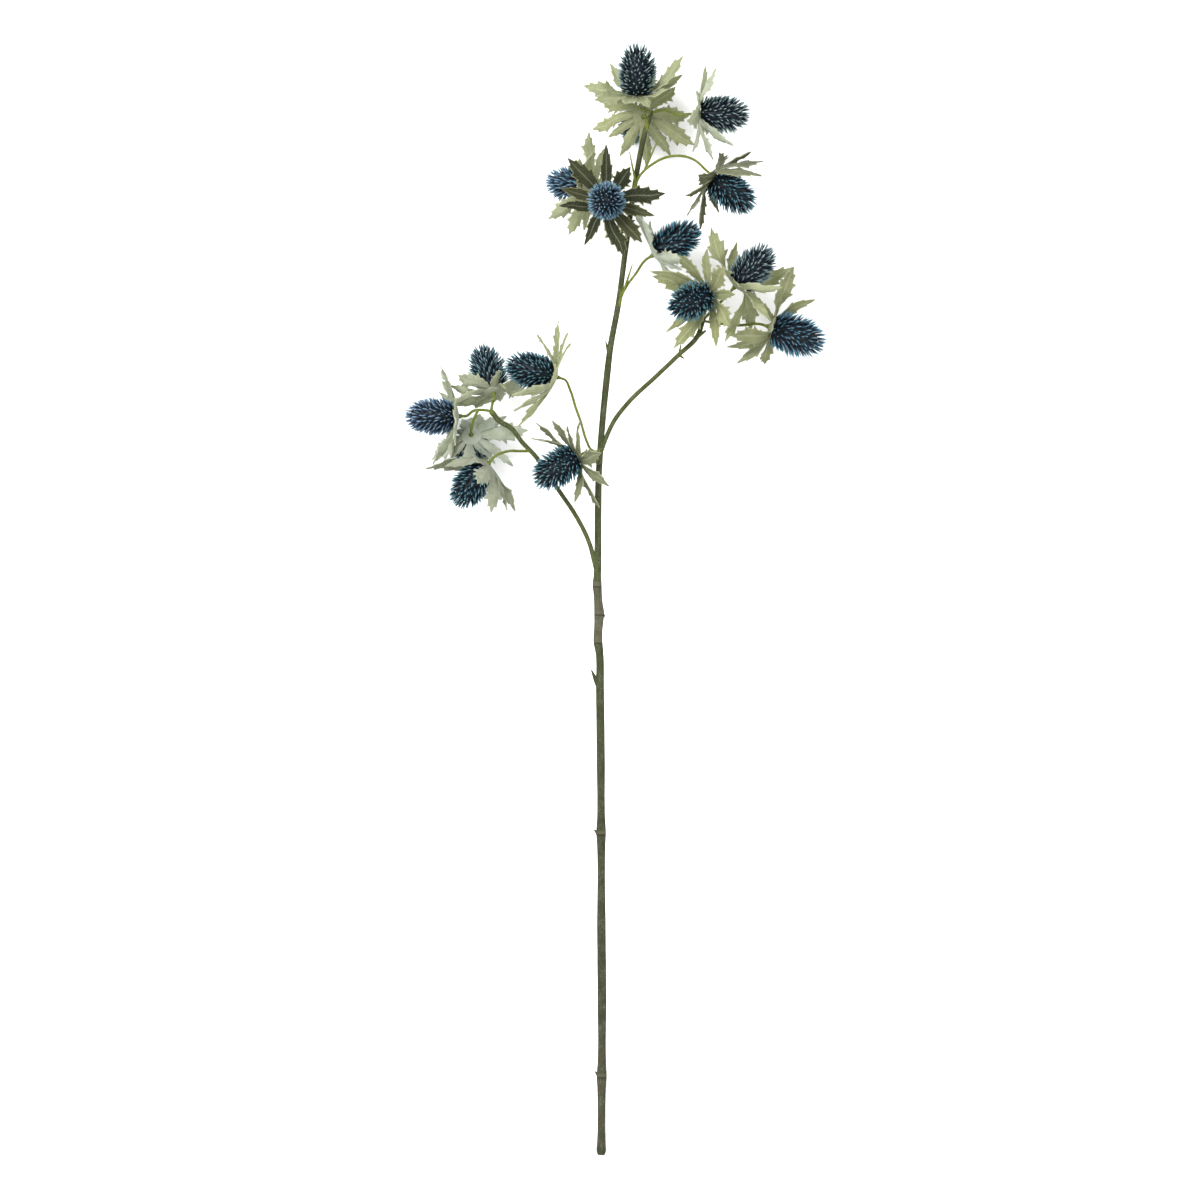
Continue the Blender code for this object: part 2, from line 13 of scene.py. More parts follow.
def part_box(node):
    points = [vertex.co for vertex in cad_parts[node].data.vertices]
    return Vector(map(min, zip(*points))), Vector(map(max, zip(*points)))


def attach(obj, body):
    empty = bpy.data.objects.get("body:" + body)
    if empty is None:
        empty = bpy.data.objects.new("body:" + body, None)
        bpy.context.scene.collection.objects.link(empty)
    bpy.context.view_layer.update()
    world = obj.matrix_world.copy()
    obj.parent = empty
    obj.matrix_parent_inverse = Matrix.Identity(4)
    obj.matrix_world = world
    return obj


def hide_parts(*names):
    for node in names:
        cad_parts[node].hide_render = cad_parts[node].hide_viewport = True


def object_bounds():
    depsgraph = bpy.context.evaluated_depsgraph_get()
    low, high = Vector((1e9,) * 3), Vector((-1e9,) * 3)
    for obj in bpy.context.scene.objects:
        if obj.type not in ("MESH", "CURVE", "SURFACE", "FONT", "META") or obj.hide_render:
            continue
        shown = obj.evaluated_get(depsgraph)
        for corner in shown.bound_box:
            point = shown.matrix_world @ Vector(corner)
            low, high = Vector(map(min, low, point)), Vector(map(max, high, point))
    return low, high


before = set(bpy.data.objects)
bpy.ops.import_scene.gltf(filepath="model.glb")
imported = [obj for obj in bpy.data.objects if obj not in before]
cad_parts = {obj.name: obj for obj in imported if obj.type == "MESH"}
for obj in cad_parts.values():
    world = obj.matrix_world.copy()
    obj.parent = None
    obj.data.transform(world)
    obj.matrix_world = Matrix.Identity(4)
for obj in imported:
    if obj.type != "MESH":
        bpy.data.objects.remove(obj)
CAD_BOX = [list(corner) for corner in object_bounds()]

bl_info = {
    "name": "Sea Holly Stem",
    "version": (1, 0, 0),
    "blender": (4, 5, 0),
    "location": "View3D > Sidebar > Sea Holly",
    "description": "Dresses a cut sea holly stem with its bark, spiny cones and toothed bracts",
    "category": "Object",
}

MM = 0.001

# Places on the stem are read across and down in pixels of a straight view, and up in millimetres.
PIXEL = 0.75 * MM
MIDDLE_ACROSS = 615.5
MIDDLE_DOWN = 600.0
PICTURE_SIDE = 1200

HEAD_COUNT = 16
RUFF_BRACTS = 10

# Build of a head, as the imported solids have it
GAP = 0.3 * MM
RUFF_RADIUS = 8 * MM
RUFF_HALF = 1.5 * MM
CONE_HEIGHT = 38.6 * MM
CORE_HEIGHT = 32 * MM
CORE_RADIUS = 9.8 * MM
WIDEST_AT = 0.42
CORE_TAPER = 0.6
CURL = 1.35
SECTOR_SHARE = 0.46
SECTOR_AT_ROOT = 0.92
SECTOR_LIMIT = 1.2
TURN_WITHIN = 1.5
TWIST_FROM = 0.25
TWIST_OVER = 0.3
FACINGS = (0.75, 0.4, 0.25, 0.0)
FULL_LENGTH = 36 * MM

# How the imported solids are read: what counts as one corner, how far the roots reach, how many corners a broad
# bract has, and the share along and half width in millimetres where a bract's edges are compared
MERGE = 0.001 * MM
ROOT_WITHIN = 8.4 * MM
ROOT_HALF = 1.7 * MM
FEWEST_IN_BROAD = 17
BROAD_EDGE = (0.50, 8.8)
NARROW_EDGE = (0.55, 4.7)

# Lean of the spines: at the foot, over the belly, and added towards the top. Each spine wanders a little in
# turn, lean and side, and in its share of the full length.
CONE_REACH = 37.9 * MM
ROOT_SWEEP = math.radians(12)
SWEEP = math.radians(27)
SWEEP_BY = 0.3
TOP_SWEEP = math.radians(52)
TOP_FROM = 0.55
TOP_CURVE = 1.4
BEND = math.radians(10)
TURN_WANDER = 0.12
SWEEP_WANDER = 0.2
SIDE_WANDER = 0.24
SPINE_SHARES = (0.72, 1.04)
CORE_INSET = 0.95
SPINE_INSET = 0.93

# Outline of one side of a bract: how far out along it in shares, and how wide in millimetres. Where two stops
# are close together, the wider one is the point of a tooth.
BROAD_OUTLINE = (
    (-0.12, 2.2), (0.0, 2.7), (0.09, 3.4), (0.18, 4.9), (0.205, 4.0), (0.29, 5.0), (0.36, 6.4), (0.385, 5.4),
    (0.44, 7.2), (0.50, 8.9), (0.525, 5.7), (0.60, 6.2), (0.68, 7.3), (0.705, 4.3), (0.77, 3.9), (0.85, 4.0),
    (0.87, 2.0), (0.94, 1.1), (1.0, 0.15),
)
NARROW_OUTLINE = (
    (-0.12, 2.1), (0.0, 2.5), (0.10, 3.2), (0.20, 4.1), (0.225, 3.4), (0.35, 5.0), (0.375, 4.2), (0.46, 4.4),
    (0.55, 4.9), (0.575, 3.5), (0.66, 3.2), (0.78, 2.9), (0.80, 1.9), (0.90, 1.3), (1.0, 0.2),
)
TOOTH_STEP = 0.04
TOOTH_LEAN = 0.022
BROAD_LENGTH = 40 * MM
NARROW_LENGTH = 36 * MM
BLADE_COLUMNS = 6
FOLD = 0.22
FOLD_CURVE = 1.4
RIB_DEPTH = 0.35 * MM
RIPPLE_HEIGHT = 0.5 * MM
RIPPLE_RATE = 14
RIPPLE_SKEW = 1.3

# Each head's looks, from 0 to 1: how dark its bracts are, how silvery its felt is, and how vivid the teal of
# its spines is
HEAD_LOOKS = (
    (0.10, 0.25, 0.10), (0.05, 0.00, 0.45), (0.15, 0.55, 0.10), (0.85, 0.20, 0.90),
    (0.10, 0.15, 0.85), (0.97, 0.00, 0.50), (0.05, 0.95, 1.00), (0.15, 0.05, 0.85),
    (0.05, 0.15, 0.05), (0.35, 0.10, 1.00), (0.20, 0.35, 0.60), (0.10, 0.15, 0.80),
    (0.15, 0.60, 0.35), (0.00, 1.00, 0.50), (0.42, 0.60, 0.85), (0.5, 0.25, 0.85),
)

# How violet a cone's spines are, from 0 to 1, for the heads where they are
VIOLET_HEADS = {5: 0.4, 6: 0.45, 9: 0.15, 10: 0.2, 13: 0.75}

# Routes of the stem and its branches: across, down, height and radius, the last two in millimetres
MAIN_STEM = (
    (601.2, 1157.2, 3.9, 2.6), (601.2, 1153.5, 4.0, 3.6), (601.3, 1147, 4.3, 3.3), (601.6, 1090, 8.6, 3.35),
    (601.7, 1077, 9.6, 3.8), (601.8, 1066, 10.5, 3.35), (602, 1000, 15.4, 3.4), (601.4, 930, 20.5, 3.35),
    (601.2, 845, 26.7, 3.3), (601.1, 833, 27.6, 3.75), (601.1, 821, 28.5, 3.25), (600.8, 760, 33, 3.2),
    (600, 690, 38, 3.15), (599.4, 652, 40.3, 3.1), (597.9, 641, 41, 3.5), (598.1, 632, 41.4, 3.3),
    (598.8, 622, 41.9, 3.5), (599.2, 612.5, 42.3, 3.9), (598.5, 605, 42.7, 3.4), (597.6, 592, 43.4, 3.3),
    (597.1, 584.5, 43.9, 3.6), (597.3, 578, 44.2, 3.1), (597.8, 560, 45, 2.8), (598, 520, 46, 2.55),
    (599, 470, 46.5, 2.45), (601, 440, 46.5, 2.4), (604.5, 400, 46.5, 2.4), (607, 376, 46.5, 2.55),
    (610, 350, 46.5, 2.4), (619, 300, 46.5, 2.25), (623.5, 265, 46.5, 2.1), (628, 232, 46.5, 2.0),
    (634.5, 187, 46.5, 1.95), (641, 150, 46.5, 2.05), (647, 125, 46.5, 1.95), (652, 112, 47, 1.6),
)
LEFT_BRANCH = (
    (598.6, 578, 44.2, 1.9), (595, 564, 45, 1.9), (590, 545, 45.5, 1.75), (573, 511, 45.5, 1.7),
    (562, 495, 44.5, 1.7), (545, 470, 43.5, 1.7), (537, 458, 43, 1.7), (522, 442, 43, 1.7),
    (510, 427, 43, 1.8), (500, 421.5, 43, 2.0), (491, 411, 43, 2.0),
)
RIGHT_BRANCH = (
    (600.5, 453, 46.5, 1.7), (606, 438, 47.5, 1.7), (614, 421, 48, 1.7), (627, 404, 49, 1.7),
    (657, 375.5, 50, 1.7), (679, 354.6, 50, 1.75), (697, 337, 50, 1.9), (704, 318, 49, 1.6),
)

# Each head's stalk, from where it leaves the stem; it ends square under the ruff
STALK_RADIUS = 1.0 * MM
STALK_END_RADIUS = 2.0 * MM
STALK_FLARE = 3 * MM
APPROACH = 5 * MM
STALKS = (
    ((652, 112, 47), (644, 110, 47)),
    ((646.5, 131, 46.5), (646.5, 121, 46.8)),
    ((652, 112, 47), (666, 110, 48), (675, 114, 49)),
    ((634, 188, 46.5), (641, 174, 51), (652, 164.5, 54), (666, 157.5, 57), (680, 156, 59), (694, 160, 60)),
    ((629, 215, 46.5), (612, 199, 43)),
    ((628, 222, 46.5), (617, 212, 49)),
    ((618.6, 305, 46.5), (622, 295, 47), (627, 285.5, 48.5), (635.5, 274, 51)),
    ((703, 320, 49), (712, 309, 48)),
    ((703, 320, 49), (717, 306, 46)),
    ((703, 321, 49), (718, 323, 45), (738, 325, 41)),
    ((491, 411, 43), (492.7, 402, 44)),
    (
        (599, 452, 46.5), (591, 449.5, 50), (587, 442, 53.5), (580.5, 421, 58.5), (575.5, 407, 61.5),
        (570.5, 391, 64),
    ),
    ((491, 411, 43), (483, 409.8, 43.8), (473.5, 410.6, 44.6)),
    ((478, 410, 44.2), (474, 419, 46.5)),
    ((530, 451, 43), (520, 451, 46), (509, 451, 50)),
    ((598.6, 462, 46.5), (594, 456, 55)),
)

# Down the stem: where its skin is brown and woody, its paler rings, and the painted shade in the hollow just
# below each ring
WOODY = (643, 580)
WOODY_FADE = 2 * MM
RINGS = (584.5, 612.5, 641, 833, 1077)
RING_HALF = 2.2 * MM
CREASE_SHADE_BELOW = 1.9 * MM
CREASE_SHADE_HALF = 0.9 * MM
BRANCH_AGE = 0.15
STALK_SIDES = 8

# Stubs and pointed leaflets on the stem: root and tip, the radius of each, and how young they are
STUBS = (
    ((600, 1080, 9.5), (595.2, 1073, 12), 1.5, 0.5, 0.0),
    ((599.4, 837, 27.5), (594.3, 830, 30), 1.5, 0.5, 0.0),
    ((598.4, 686, 38.4), (591.4, 670, 41.5), 2.1, 0.5, 0.0),
    ((600, 619, 42.3), (604.6, 615, 44), 1.6, 1.0, 0.0),
    ((598.6, 463, 46.5), (597.6, 462, 52.5), 2.1, 1.9, 0.0),
    ((608.6, 353, 46.5), (605.6, 341, 48.5), 1.3, 0.4, 0.2),
    ((679, 355, 50), (684, 358.5, 51), 1.1, 0.5, 0.2),
    ((679, 354, 50), (681.5, 342, 53), 0.9, 0.2, 0.6),
    ((697, 337, 50), (706, 330.5, 51.5), 1.6, 0.6, 0.2),
    ((508, 426, 43), (513.5, 428.5, 45), 1.2, 0.6, 0.2),
    ((624.5, 289, 48), (632.5, 264, 55), 1.0, 0.3, 1.0),
    ((636, 184, 48.5), (629.5, 152, 56), 1.0, 0.3, 1.0),
    ((645, 169, 51.5), (657.5, 141, 60), 1.0, 0.3, 1.0),
)


# Settings


def colour_setting(name, description, colour):
    solid = (*colour, 1)
    return FloatVectorProperty(name=name, description=description, default=solid, size=4, subtype="COLOR")


def length_setting(name, description, length):
    return FloatProperty(name=name, description=description, default=length, unit="LENGTH")


class SeaHollyStemSettings(PropertyGroup):
    """Sizes and colours of the stem"""

    sides: IntProperty(name="Sides", description="Sides of the main stem", default=14, min=6, max=32)
    spacing: length_setting("Spacing", "Distance between rings along the stem", 3 * MM)
    unevenness: FloatProperty(
        name="Unevenness", description="Share by which the thickness wanders", default=0.02, subtype="FACTOR",
    )
    old_colour: colour_setting("Lower stem", "Colour of the lower stem", (0.03, 0.032, 0.018))
    green_colour: colour_setting("Upper stem", "Colour of the upper stem", (0.031, 0.039, 0.014))
    young_colour: colour_setting("Stalks", "Colour of the flower stalks", (0.105, 0.13, 0.02))


class SeaHollyConeSettings(PropertyGroup):
    """Sizes and colours of the flower cones"""

    spines: IntProperty(name="Spines", description="Spines on each cone", default=260, min=50, max=600)
    spine_length: length_setting("Spine length", "Length of a spine", 8.0 * MM)
    spine_radius: length_setting("Spine radius", "Radius of a spine at its root", 0.66 * MM)
    # Painted shade: the near-black root colour stands for the shade deep between the spines and over the core
    root_shade_colour: colour_setting("Root", "Colour deep between the spines", (0.006, 0.014, 0.022))
    vivid_colour: colour_setting("Vivid", "Teal of the most vivid spines", (0.035, 0.09, 0.12))
    muted_colour: colour_setting("Muted", "Slate of the greyest spines", (0.075, 0.135, 0.165))


class SeaHollyRuffSettings(PropertyGroup):
    """Sizes and colours of the bracts"""

    thickness: length_setting("Thickness", "Thickness of a bract", 0.8 * MM)
    fold: FloatProperty(
        name="Fold", description="Rise of a bract's edges for each unit of its width", default=FOLD,
    )
    sage_colour: colour_setting("Sage", "Colour of pale bracts", (0.33, 0.335, 0.155))
    silver_colour: colour_setting("Silver", "Colour of silvery felt", (0.60, 0.64, 0.58))
    dark_colour: colour_setting("Dark", "Colour of dark bracts", (0.012, 0.019, 0.007))
    edge_colour: colour_setting("Edges", "Colour of the ribs and edges", (0.52, 0.545, 0.37))
    glow_colour: colour_setting("Glow", "Colour of light that passes through", (0.52, 0.57, 0.24))


class SeaHollyStageSettings(PropertyGroup):
    """The floor, the lights and the camera"""

    floor_side: length_setting("Floor", "Side of the floor", 30.0)
    camera_height: length_setting("Camera height", "Height of the camera above the spray", 12.0)
    sky: FloatProperty(name="Sky", description="Strength of the even light", default=1.2)
    key: FloatProperty(name="Key light", description="Power of the main light", default=120.0, unit="POWER")


# Small helpers for modelling


def nothing_selected():
    if bpy.context.object and bpy.context.object.mode != "OBJECT":
        bpy.ops.object.mode_set(mode="OBJECT")
    bpy.ops.object.select_all(action="DESELECT")


def only(piece):
    """Make the piece the one that is selected and active."""
    nothing_selected()
    piece.hide_set(False)
    piece.select_set(True)
    bpy.context.view_layer.objects.active = piece
    return piece


def pick(piece, wanted):
    """In edit mode, select the corners of the piece for which the function is true."""
    bpy.ops.mesh.select_all(action="DESELECT")
    bm = bmesh.from_edit_mesh(piece.data)
    for corner in bm.verts:
        corner.select = wanted(corner.co)
    bm.select_flush_mode()
    bmesh.update_edit_mesh(piece.data)


def named(piece, name):
    piece.name = name
    piece.data.name = name
    return piece


def mesh_arrays(piece):
    """The piece's corners as an array and its faces as lists of corner numbers."""
    mesh = piece.data
    corners = np.empty(len(mesh.vertices) * 3)
    mesh.vertices.foreach_get("co", corners)
    return corners.reshape(-1, 3), [list(face.vertices) for face in mesh.polygons]


class Heap:
    """Copies of modelled meshes gathered in one mesh inside the solids' box, with values for each corner."""

    def __init__(self):
        self.corners = []
        self.faces = []
        self.values = {}
        self.count = 0

    def add(self, corners, faces, **values):
        self.faces += [[number + self.count for number in face] for face in faces]
        self.corners.append(np.clip(np.asarray(corners, float), *CAD_BOX))
        for name, value in values.items():
            wide = np.broadcast_to(np.asarray(value, float), (len(corners),))
            self.values.setdefault(name, []).append(wide)
        self.count += len(corners)

    def piece(self, name, look):
        mesh = bpy.data.meshes.new(name)
        mesh.from_pydata(np.concatenate(self.corners).tolist(), [], self.faces)
        for label, parts in self.values.items():
            layer = mesh.attributes.new(label, "FLOAT", "POINT")
            layer.data.foreach_set("value", np.concatenate(parts).astype(np.float32))
        mesh.shade_smooth()
        mesh.materials.append(look)
        made = bpy.data.objects.new(name, mesh)
        bpy.context.scene.collection.objects.link(made)
        return made


def dressed(piece, node):
    """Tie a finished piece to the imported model."""
    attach(piece, "root")
    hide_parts(node)


# Small helpers for materials


def add_node(tree, kind, values=None, **settings):
    made = tree.nodes.new(kind)
    for name, value in settings.items():
        setattr(made, name, value)
    for name, value in (values or {}).items():
        made.inputs[name].default_value = value
    return made


def maths(tree, operation, first, second=0.0):
    """A Math node fed by two outputs or numbers."""
    made = add_node(tree, "ShaderNodeMath", operation=operation)
    for place_in_node, value in enumerate((first, second)):
        if isinstance(value, bpy.types.NodeSocket):
            tree.links.new(value, made.inputs[place_in_node])
        else:
            made.inputs[place_in_node].default_value = value
    return made.outputs[0]


def times(tree, first, second):
    return maths(tree, "MULTIPLY", first, second)


def opposite(tree, value):
    """The value's remainder to 1."""
    return maths(tree, "SUBTRACT", 1.0, value)


def eased(tree, value, low, high, to_low=0.0, to_high=1.0):
    """The value's place between low and high, eased at both ends."""
    made = add_node(tree, "ShaderNodeMapRange", interpolation_type="SMOOTHSTEP")
    tree.links.new(value, made.inputs["Value"])
    for name, number in (("From Min", low), ("From Max", high), ("To Min", to_low), ("To Max", to_high)):
        made.inputs[name].default_value = number
    return made.outputs["Result"]


def blended(tree, mask, first, second, way="MIX"):
    """Two colours, as outputs or values, mixed by a mask."""
    made = add_node(tree, "ShaderNodeMix", data_type="RGBA", blend_type=way)
    for label, value in (("Factor_Float", mask), ("A_Color", first), ("B_Color", second)):
        socket = next(one for one in made.inputs if one.identifier == label)
        if isinstance(value, bpy.types.NodeSocket):
            tree.links.new(value, socket)
        else:
            socket.default_value = value
    return next(one for one in made.outputs if one.identifier == "Result_Color")


def read_value(tree, name):
    return add_node(tree, "ShaderNodeAttribute", attribute_name=name).outputs["Fac"]


def new_material(name):
    made = bpy.data.materials.new(name)
    made.use_nodes = True
    return made, made.node_tree, made.node_tree.nodes["Principled BSDF"]


def noise_over(tree, vector, **values):
    """Noise over the given coordinates."""
    made = add_node(tree, "ShaderNodeTexNoise", {name.title(): value for name, value in values.items()})
    tree.links.new(vector, made.inputs["Vector"])
    return made


def felt_group():
    """Felt that stems and leaves share: patches of lighter and darker down, and a fine fibre relief."""
    known = bpy.data.node_groups.get("felt")
    if known:
        return known
    tree = bpy.data.node_groups.new("felt", "ShaderNodeTree")
    for name, default in (("Patches", 90.0), ("Fibres", 1400.0)):
        socket = tree.interface.new_socket(name, in_out="INPUT", socket_type="NodeSocketFloat")
        socket.default_value = default
    for name in ("Mottle", "Down"):
        tree.interface.new_socket(name, in_out="OUTPUT", socket_type="NodeSocketFloat")
    given = add_node(tree, "NodeGroupInput")
    out = add_node(tree, "NodeGroupOutput")
    spot = add_node(tree, "ShaderNodeTexCoord").outputs["Object"]
    patches = noise_over(tree, spot, detail=4.0, roughness=0.62)
    fibres = noise_over(tree, spot, detail=3.0, roughness=0.7, distortion=1.2)
    for texture, label in ((patches, "Patches"), (fibres, "Fibres")):
        tree.links.new(given.outputs[label], texture.inputs["Scale"])
    tree.links.new(eased(tree, patches.outputs["Fac"], 0.3, 0.7), out.inputs["Mottle"])
    tree.links.new(eased(tree, fibres.outputs["Fac"], 0.3, 0.7), out.inputs["Down"])
    return tree


def felt(tree, patches, fibres):
    made = add_node(tree, "ShaderNodeGroup", {}, node_tree=felt_group())
    made.inputs["Patches"].default_value = patches
    made.inputs["Fibres"].default_value = fibres
    return made.outputs["Mottle"], made.outputs["Down"]


def relief(tree, shader, height, distance, strength=1.0):
    bump = add_node(tree, "ShaderNodeBump", {"Strength": strength, "Distance": distance})
    tree.links.new(height, bump.inputs["Height"])
    tree.links.new(bump.outputs["Normal"], shader.inputs["Normal"])
    return bump.outputs["Normal"]


def let_light_through(tree, shader, colour, share, normal):
    """Mix the shader with light that passes through from behind."""
    through = add_node(tree, "ShaderNodeBsdfTranslucent")
    tree.links.new(colour, through.inputs["Color"])
    tree.links.new(normal, through.inputs["Normal"])
    mix = add_node(tree, "ShaderNodeMixShader", {"Fac": share})
    tree.links.new(shader.outputs["BSDF"], mix.inputs[1])
    tree.links.new(through.outputs["BSDF"], mix.inputs[2])
    tree.links.new(mix.outputs["Shader"], tree.nodes["Material Output"].inputs["Surface"])


# Places shared by the pieces


def place(across, down, height):
    return Vector(((across - MIDDLE_ACROSS) * PIXEL, (MIDDLE_DOWN - down) * PIXEL, height * MM))


def across_of(direction):
    """Two directions square to the given one."""
    guide = Vector((0, 0, 1)) if abs(direction.z) < 0.8 else Vector((1, 0, 0))
    side = direction.cross(guide).normalized()
    return side, side.cross(direction).normalized()


def angle_between(first, second):
    """Turn from the first angle to the second, from -180 to 180 degrees."""
    return (second - first + math.pi) % (2 * math.pi) - math.pi


def islands(bm):
    """The mesh's separate parts, each as a list of its corners' places."""
    left = set(bm.verts)
    found = []
    while left:
        spread = [left.pop()]
        part = []
        while spread:
            corner = spread.pop()
            part.append(corner.co.copy())
            for edge in corner.link_edges:
                other = edge.other_vert(corner)
                if other in left:
                    left.remove(other)
                    spread.append(other)
        found.append(part)
    return found


def read_head(number):
    """A head's middle, direction and size, and each of its bracts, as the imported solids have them."""
    bm = bmesh.new()
    bm.from_mesh(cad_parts[f"ruff_{number:02d}"].data)
    bmesh.ops.remove_doubles(bm, verts=bm.verts, dist=MERGE)
    hubs = sorted(bm.verts, key=lambda corner: len(corner.link_edges))[-2:]
    base = (hubs[0].co + hubs[1].co) / 2
    axis = (hubs[0].co - hubs[1].co).normalized()
    low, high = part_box(f"cone_{number:02d}")
    if axis.dot((low + high) / 2 - base) < 0:
        axis.negate()
    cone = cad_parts[f"cone_{number:02d}"].data
    reach = max((corner.co - base).dot(axis) for corner in cone.vertices)
    side, up = across_of(axis)
    head = dict(base=base, axis=axis, up=up, side=side, size=(reach - RUFF_HALF - GAP) / CONE_HEIGHT)
    near = [corner for corner in bm.verts if near_root(corner.co - base, axis)]
    bmesh.ops.delete(bm, geom=near, context="VERTS")
    bracts = [read_bract(head, part) for part in islands(bm)]
    bm.free()
    bracts.sort(key=lambda bract: bract["turn"])
    settle_roots(bracts)
    for bract in bracts:
        bract["facing"] = min(FACINGS, key=lambda facing: miss(head, dict(bract, facing=facing)))
    head["bracts"] = bracts
    return head


def near_root(away, axis):
    rise = away.dot(axis)
    return abs(rise) < ROOT_HALF and (away - axis * rise).length < ROOT_WITHIN


def read_bract(head, corners):
    tip = max(corners, key=lambda corner: (corner - head["base"]).length) - head["base"]
    return dict(
        turn=math.atan2(tip.dot(head["side"]), tip.dot(head["up"])) % (2 * math.pi),
        lift=math.asin(tip.dot(head["axis"]) / tip.length),
        length=tip.length,
        broad=len(corners) >= FEWEST_IN_BROAD,
        corners=corners,
    )


def settle_roots(bracts):
    """Space the roots evenly round the ruff, each as near as can be to its bract's own turn."""
    step = 2 * math.pi / len(bracts)
    first = bracts[0]["turn"]
    drift = [angle_between(first + step * i, bract["turn"]) for i, bract in enumerate(bracts)]
    for i, bract in enumerate(bracts):
        bract["root"] = first + sum(drift) / len(bracts) + step * i
        before = abs(angle_between(bracts[i - 1]["turn"], bract["turn"]))
        after = abs(angle_between(bract["turn"], bracts[(i + 1) % len(bracts)]["turn"]))
        bract["room"] = min(before, after)


def on_bract(head, bract, share):
    """The point of a bract's rib at a share of its length, with its direction across and its upper side."""
    up, side, axis = head["up"], head["side"], head["axis"]
    lift, length = bract["lift"], bract["length"]
    out_share = max(0, share)
    turn = bract["root"] + angle_between(bract["root"], bract["turn"]) * min(1, out_share * TURN_WITHIN)
    out = up * math.cos(turn) + side * math.sin(turn)
    across = side * math.cos(turn) - up * math.sin(turn)
    reach = RUFF_RADIUS + (length * math.cos(lift) - RUFF_RADIUS) * share
    if share < 0:
        reach = RUFF_RADIUS + length * share
    rise = length * math.sin(lift) * out_share**CURL
    along = out * math.cos(lift) + axis * math.sin(lift)
    level = Vector((0, 0, 1)).cross(along)
    if level.dot(across) < 0:
        level.negate()
    twist = max(0, min(1, (share - TWIST_FROM) / TWIST_OVER))
    across = across.lerp(level, bract["facing"] * twist * level.length)
    across = (across - along * across.dot(along)).normalized()
    upper = across.cross(along)
    if upper.dot(axis * math.cos(lift) - out * math.sin(lift)) < 0:
        upper.negate()
    return head["base"] + out * reach + axis * rise, across, upper, reach


def room_at(bract, share, reach):
    """Half of the width that a bract has between its neighbours."""
    room = max(0, min(1, share * TURN_WITHIN))
    sector = math.pi / RUFF_BRACTS * SECTOR_AT_ROOT * (1 - room) + bract["room"] * SECTOR_SHARE * room
    return reach * math.tan(min(sector, SECTOR_LIMIT))


def miss(head, bract):
    """How far both edges of a bract, half-way out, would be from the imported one's nearest corners."""
    share, width = BROAD_EDGE if bract["broad"] else NARROW_EDGE
    point, across, upper, reach = on_bract(head, bract, share)
    wide = min(width * MM * min(1, bract["length"] / FULL_LENGTH), room_at(bract, share, reach))
    edges = (point + across * wide + upper * wide * FOLD, point - across * wide + upper * wide * FOLD)
    return sum(min((edge - corner).length for corner in bract["corners"]) for edge in edges)


# Stem


def smoothed(rows, spacing):
    """Rows of place and radius on a smooth curve through the given ones, which may be unevenly spaced."""
    chords = [(end - start).length for start, end in zip(rows, rows[1:])]
    steps_in = [(end - start) / chord for start, end, chord in zip(rows, rows[1:], chords)]
    slopes = [steps_in[0]]
    for i in range(1, len(rows) - 1):
        near, far = chords[i - 1], chords[i]
        slopes.append((steps_in[i - 1] * far + steps_in[i] * near) / (near + far))
    slopes.append(steps_in[-1])
    made = []
    for i, chord in enumerate(chords):
        steps = max(1, round(chord / spacing))
        for k in range(steps):
            t = k / steps
            ahead = t**2 * (3 - 2 * t)
            leaving = slopes[i] * (t * (1 - t) ** 2 * chord)
            arriving = slopes[i + 1] * (t**2 * (t - 1) * chord)
            made.append(rows[i] * (1 - ahead) + rows[i + 1] * ahead + leaving + arriving)
    return made + [rows[-1]]


def row_at(point, radius):
    return Vector((*point, radius))


def grown(name, rows, sides, unevenness):
    """A round stem along the rows, a little uneven in thickness."""
    nothing_selected()
    bpy.ops.curve.primitive_nurbs_path_add()
    made = named(bpy.context.object, name)
    curve = made.data
    curve.splines.clear()
    line = curve.splines.new("POLY")
    line.points.add(len(rows) - 1)
    for point, row in zip(line.points, rows):
        point.co = (*row[:3], 1)
        wander = noise.noise(Vector(row[:3]) * 90) + 0.5 * noise.noise(Vector(row[:3]) * 240)
        point.radius = row[3] * (1 + unevenness * wander) / MM
    made.location = (0, 0, 0)
    curve.dimensions = "3D"
    curve.bevel_depth = MM
    curve.bevel_resolution = max(0, (sides - 4) // 2)
    curve.use_fill_caps = True
    bpy.ops.object.convert(target="MESH")
    return bpy.context.object


def branch_rows(route, spacing):
    return smoothed([row_at(place(*row[:3]), row[3] * MM) for row in route], spacing)


def stalk_rows(start, head, spacing):
    """A flower stalk that leaves the stem thin and ends square under the ruff, a little flared."""
    end = head["base"] - head["axis"] * (RUFF_HALF + GAP)
    points = [place(*point) for point in start] + [end - head["axis"] * APPROACH]
    rows = [row_at(point, STALK_RADIUS) for point in points]
    rows.append(row_at(end - head["axis"] * STALK_FLARE, STALK_RADIUS))
    rows.append(row_at(end, STALK_END_RADIUS))
    return smoothed(rows, spacing)


def stub_rows(root, tip, root_radius, tip_radius):
    """A stub or leaflet that keeps its width at first and then draws to its tip."""
    start, end = place(*root), place(*tip)
    return [
        row_at(start.lerp(end, share), (root_radius + (tip_radius - root_radius) * share**1.6) * MM)
        for share in (0, 0.25, 0.5, 0.75, 0.9, 1)
    ]


def joined(whole, others):
    """Unite the other pieces with the first by one Boolean."""
    group = bpy.data.collections.new("joined")
    for other in others:
        group.objects.link(other)
    only(whole)
    bpy.ops.object.modifier_add(type="BOOLEAN")
    joint = whole.modifiers[-1]
    joint.operation = "UNION"
    joint.operand_type = "COLLECTION"
    joint.collection = group
    joint.solver = "EXACT"
    bpy.ops.object.modifier_apply(modifier=joint.name)
    for other in others:
        bpy.data.objects.remove(other)
    bpy.data.collections.remove(group)


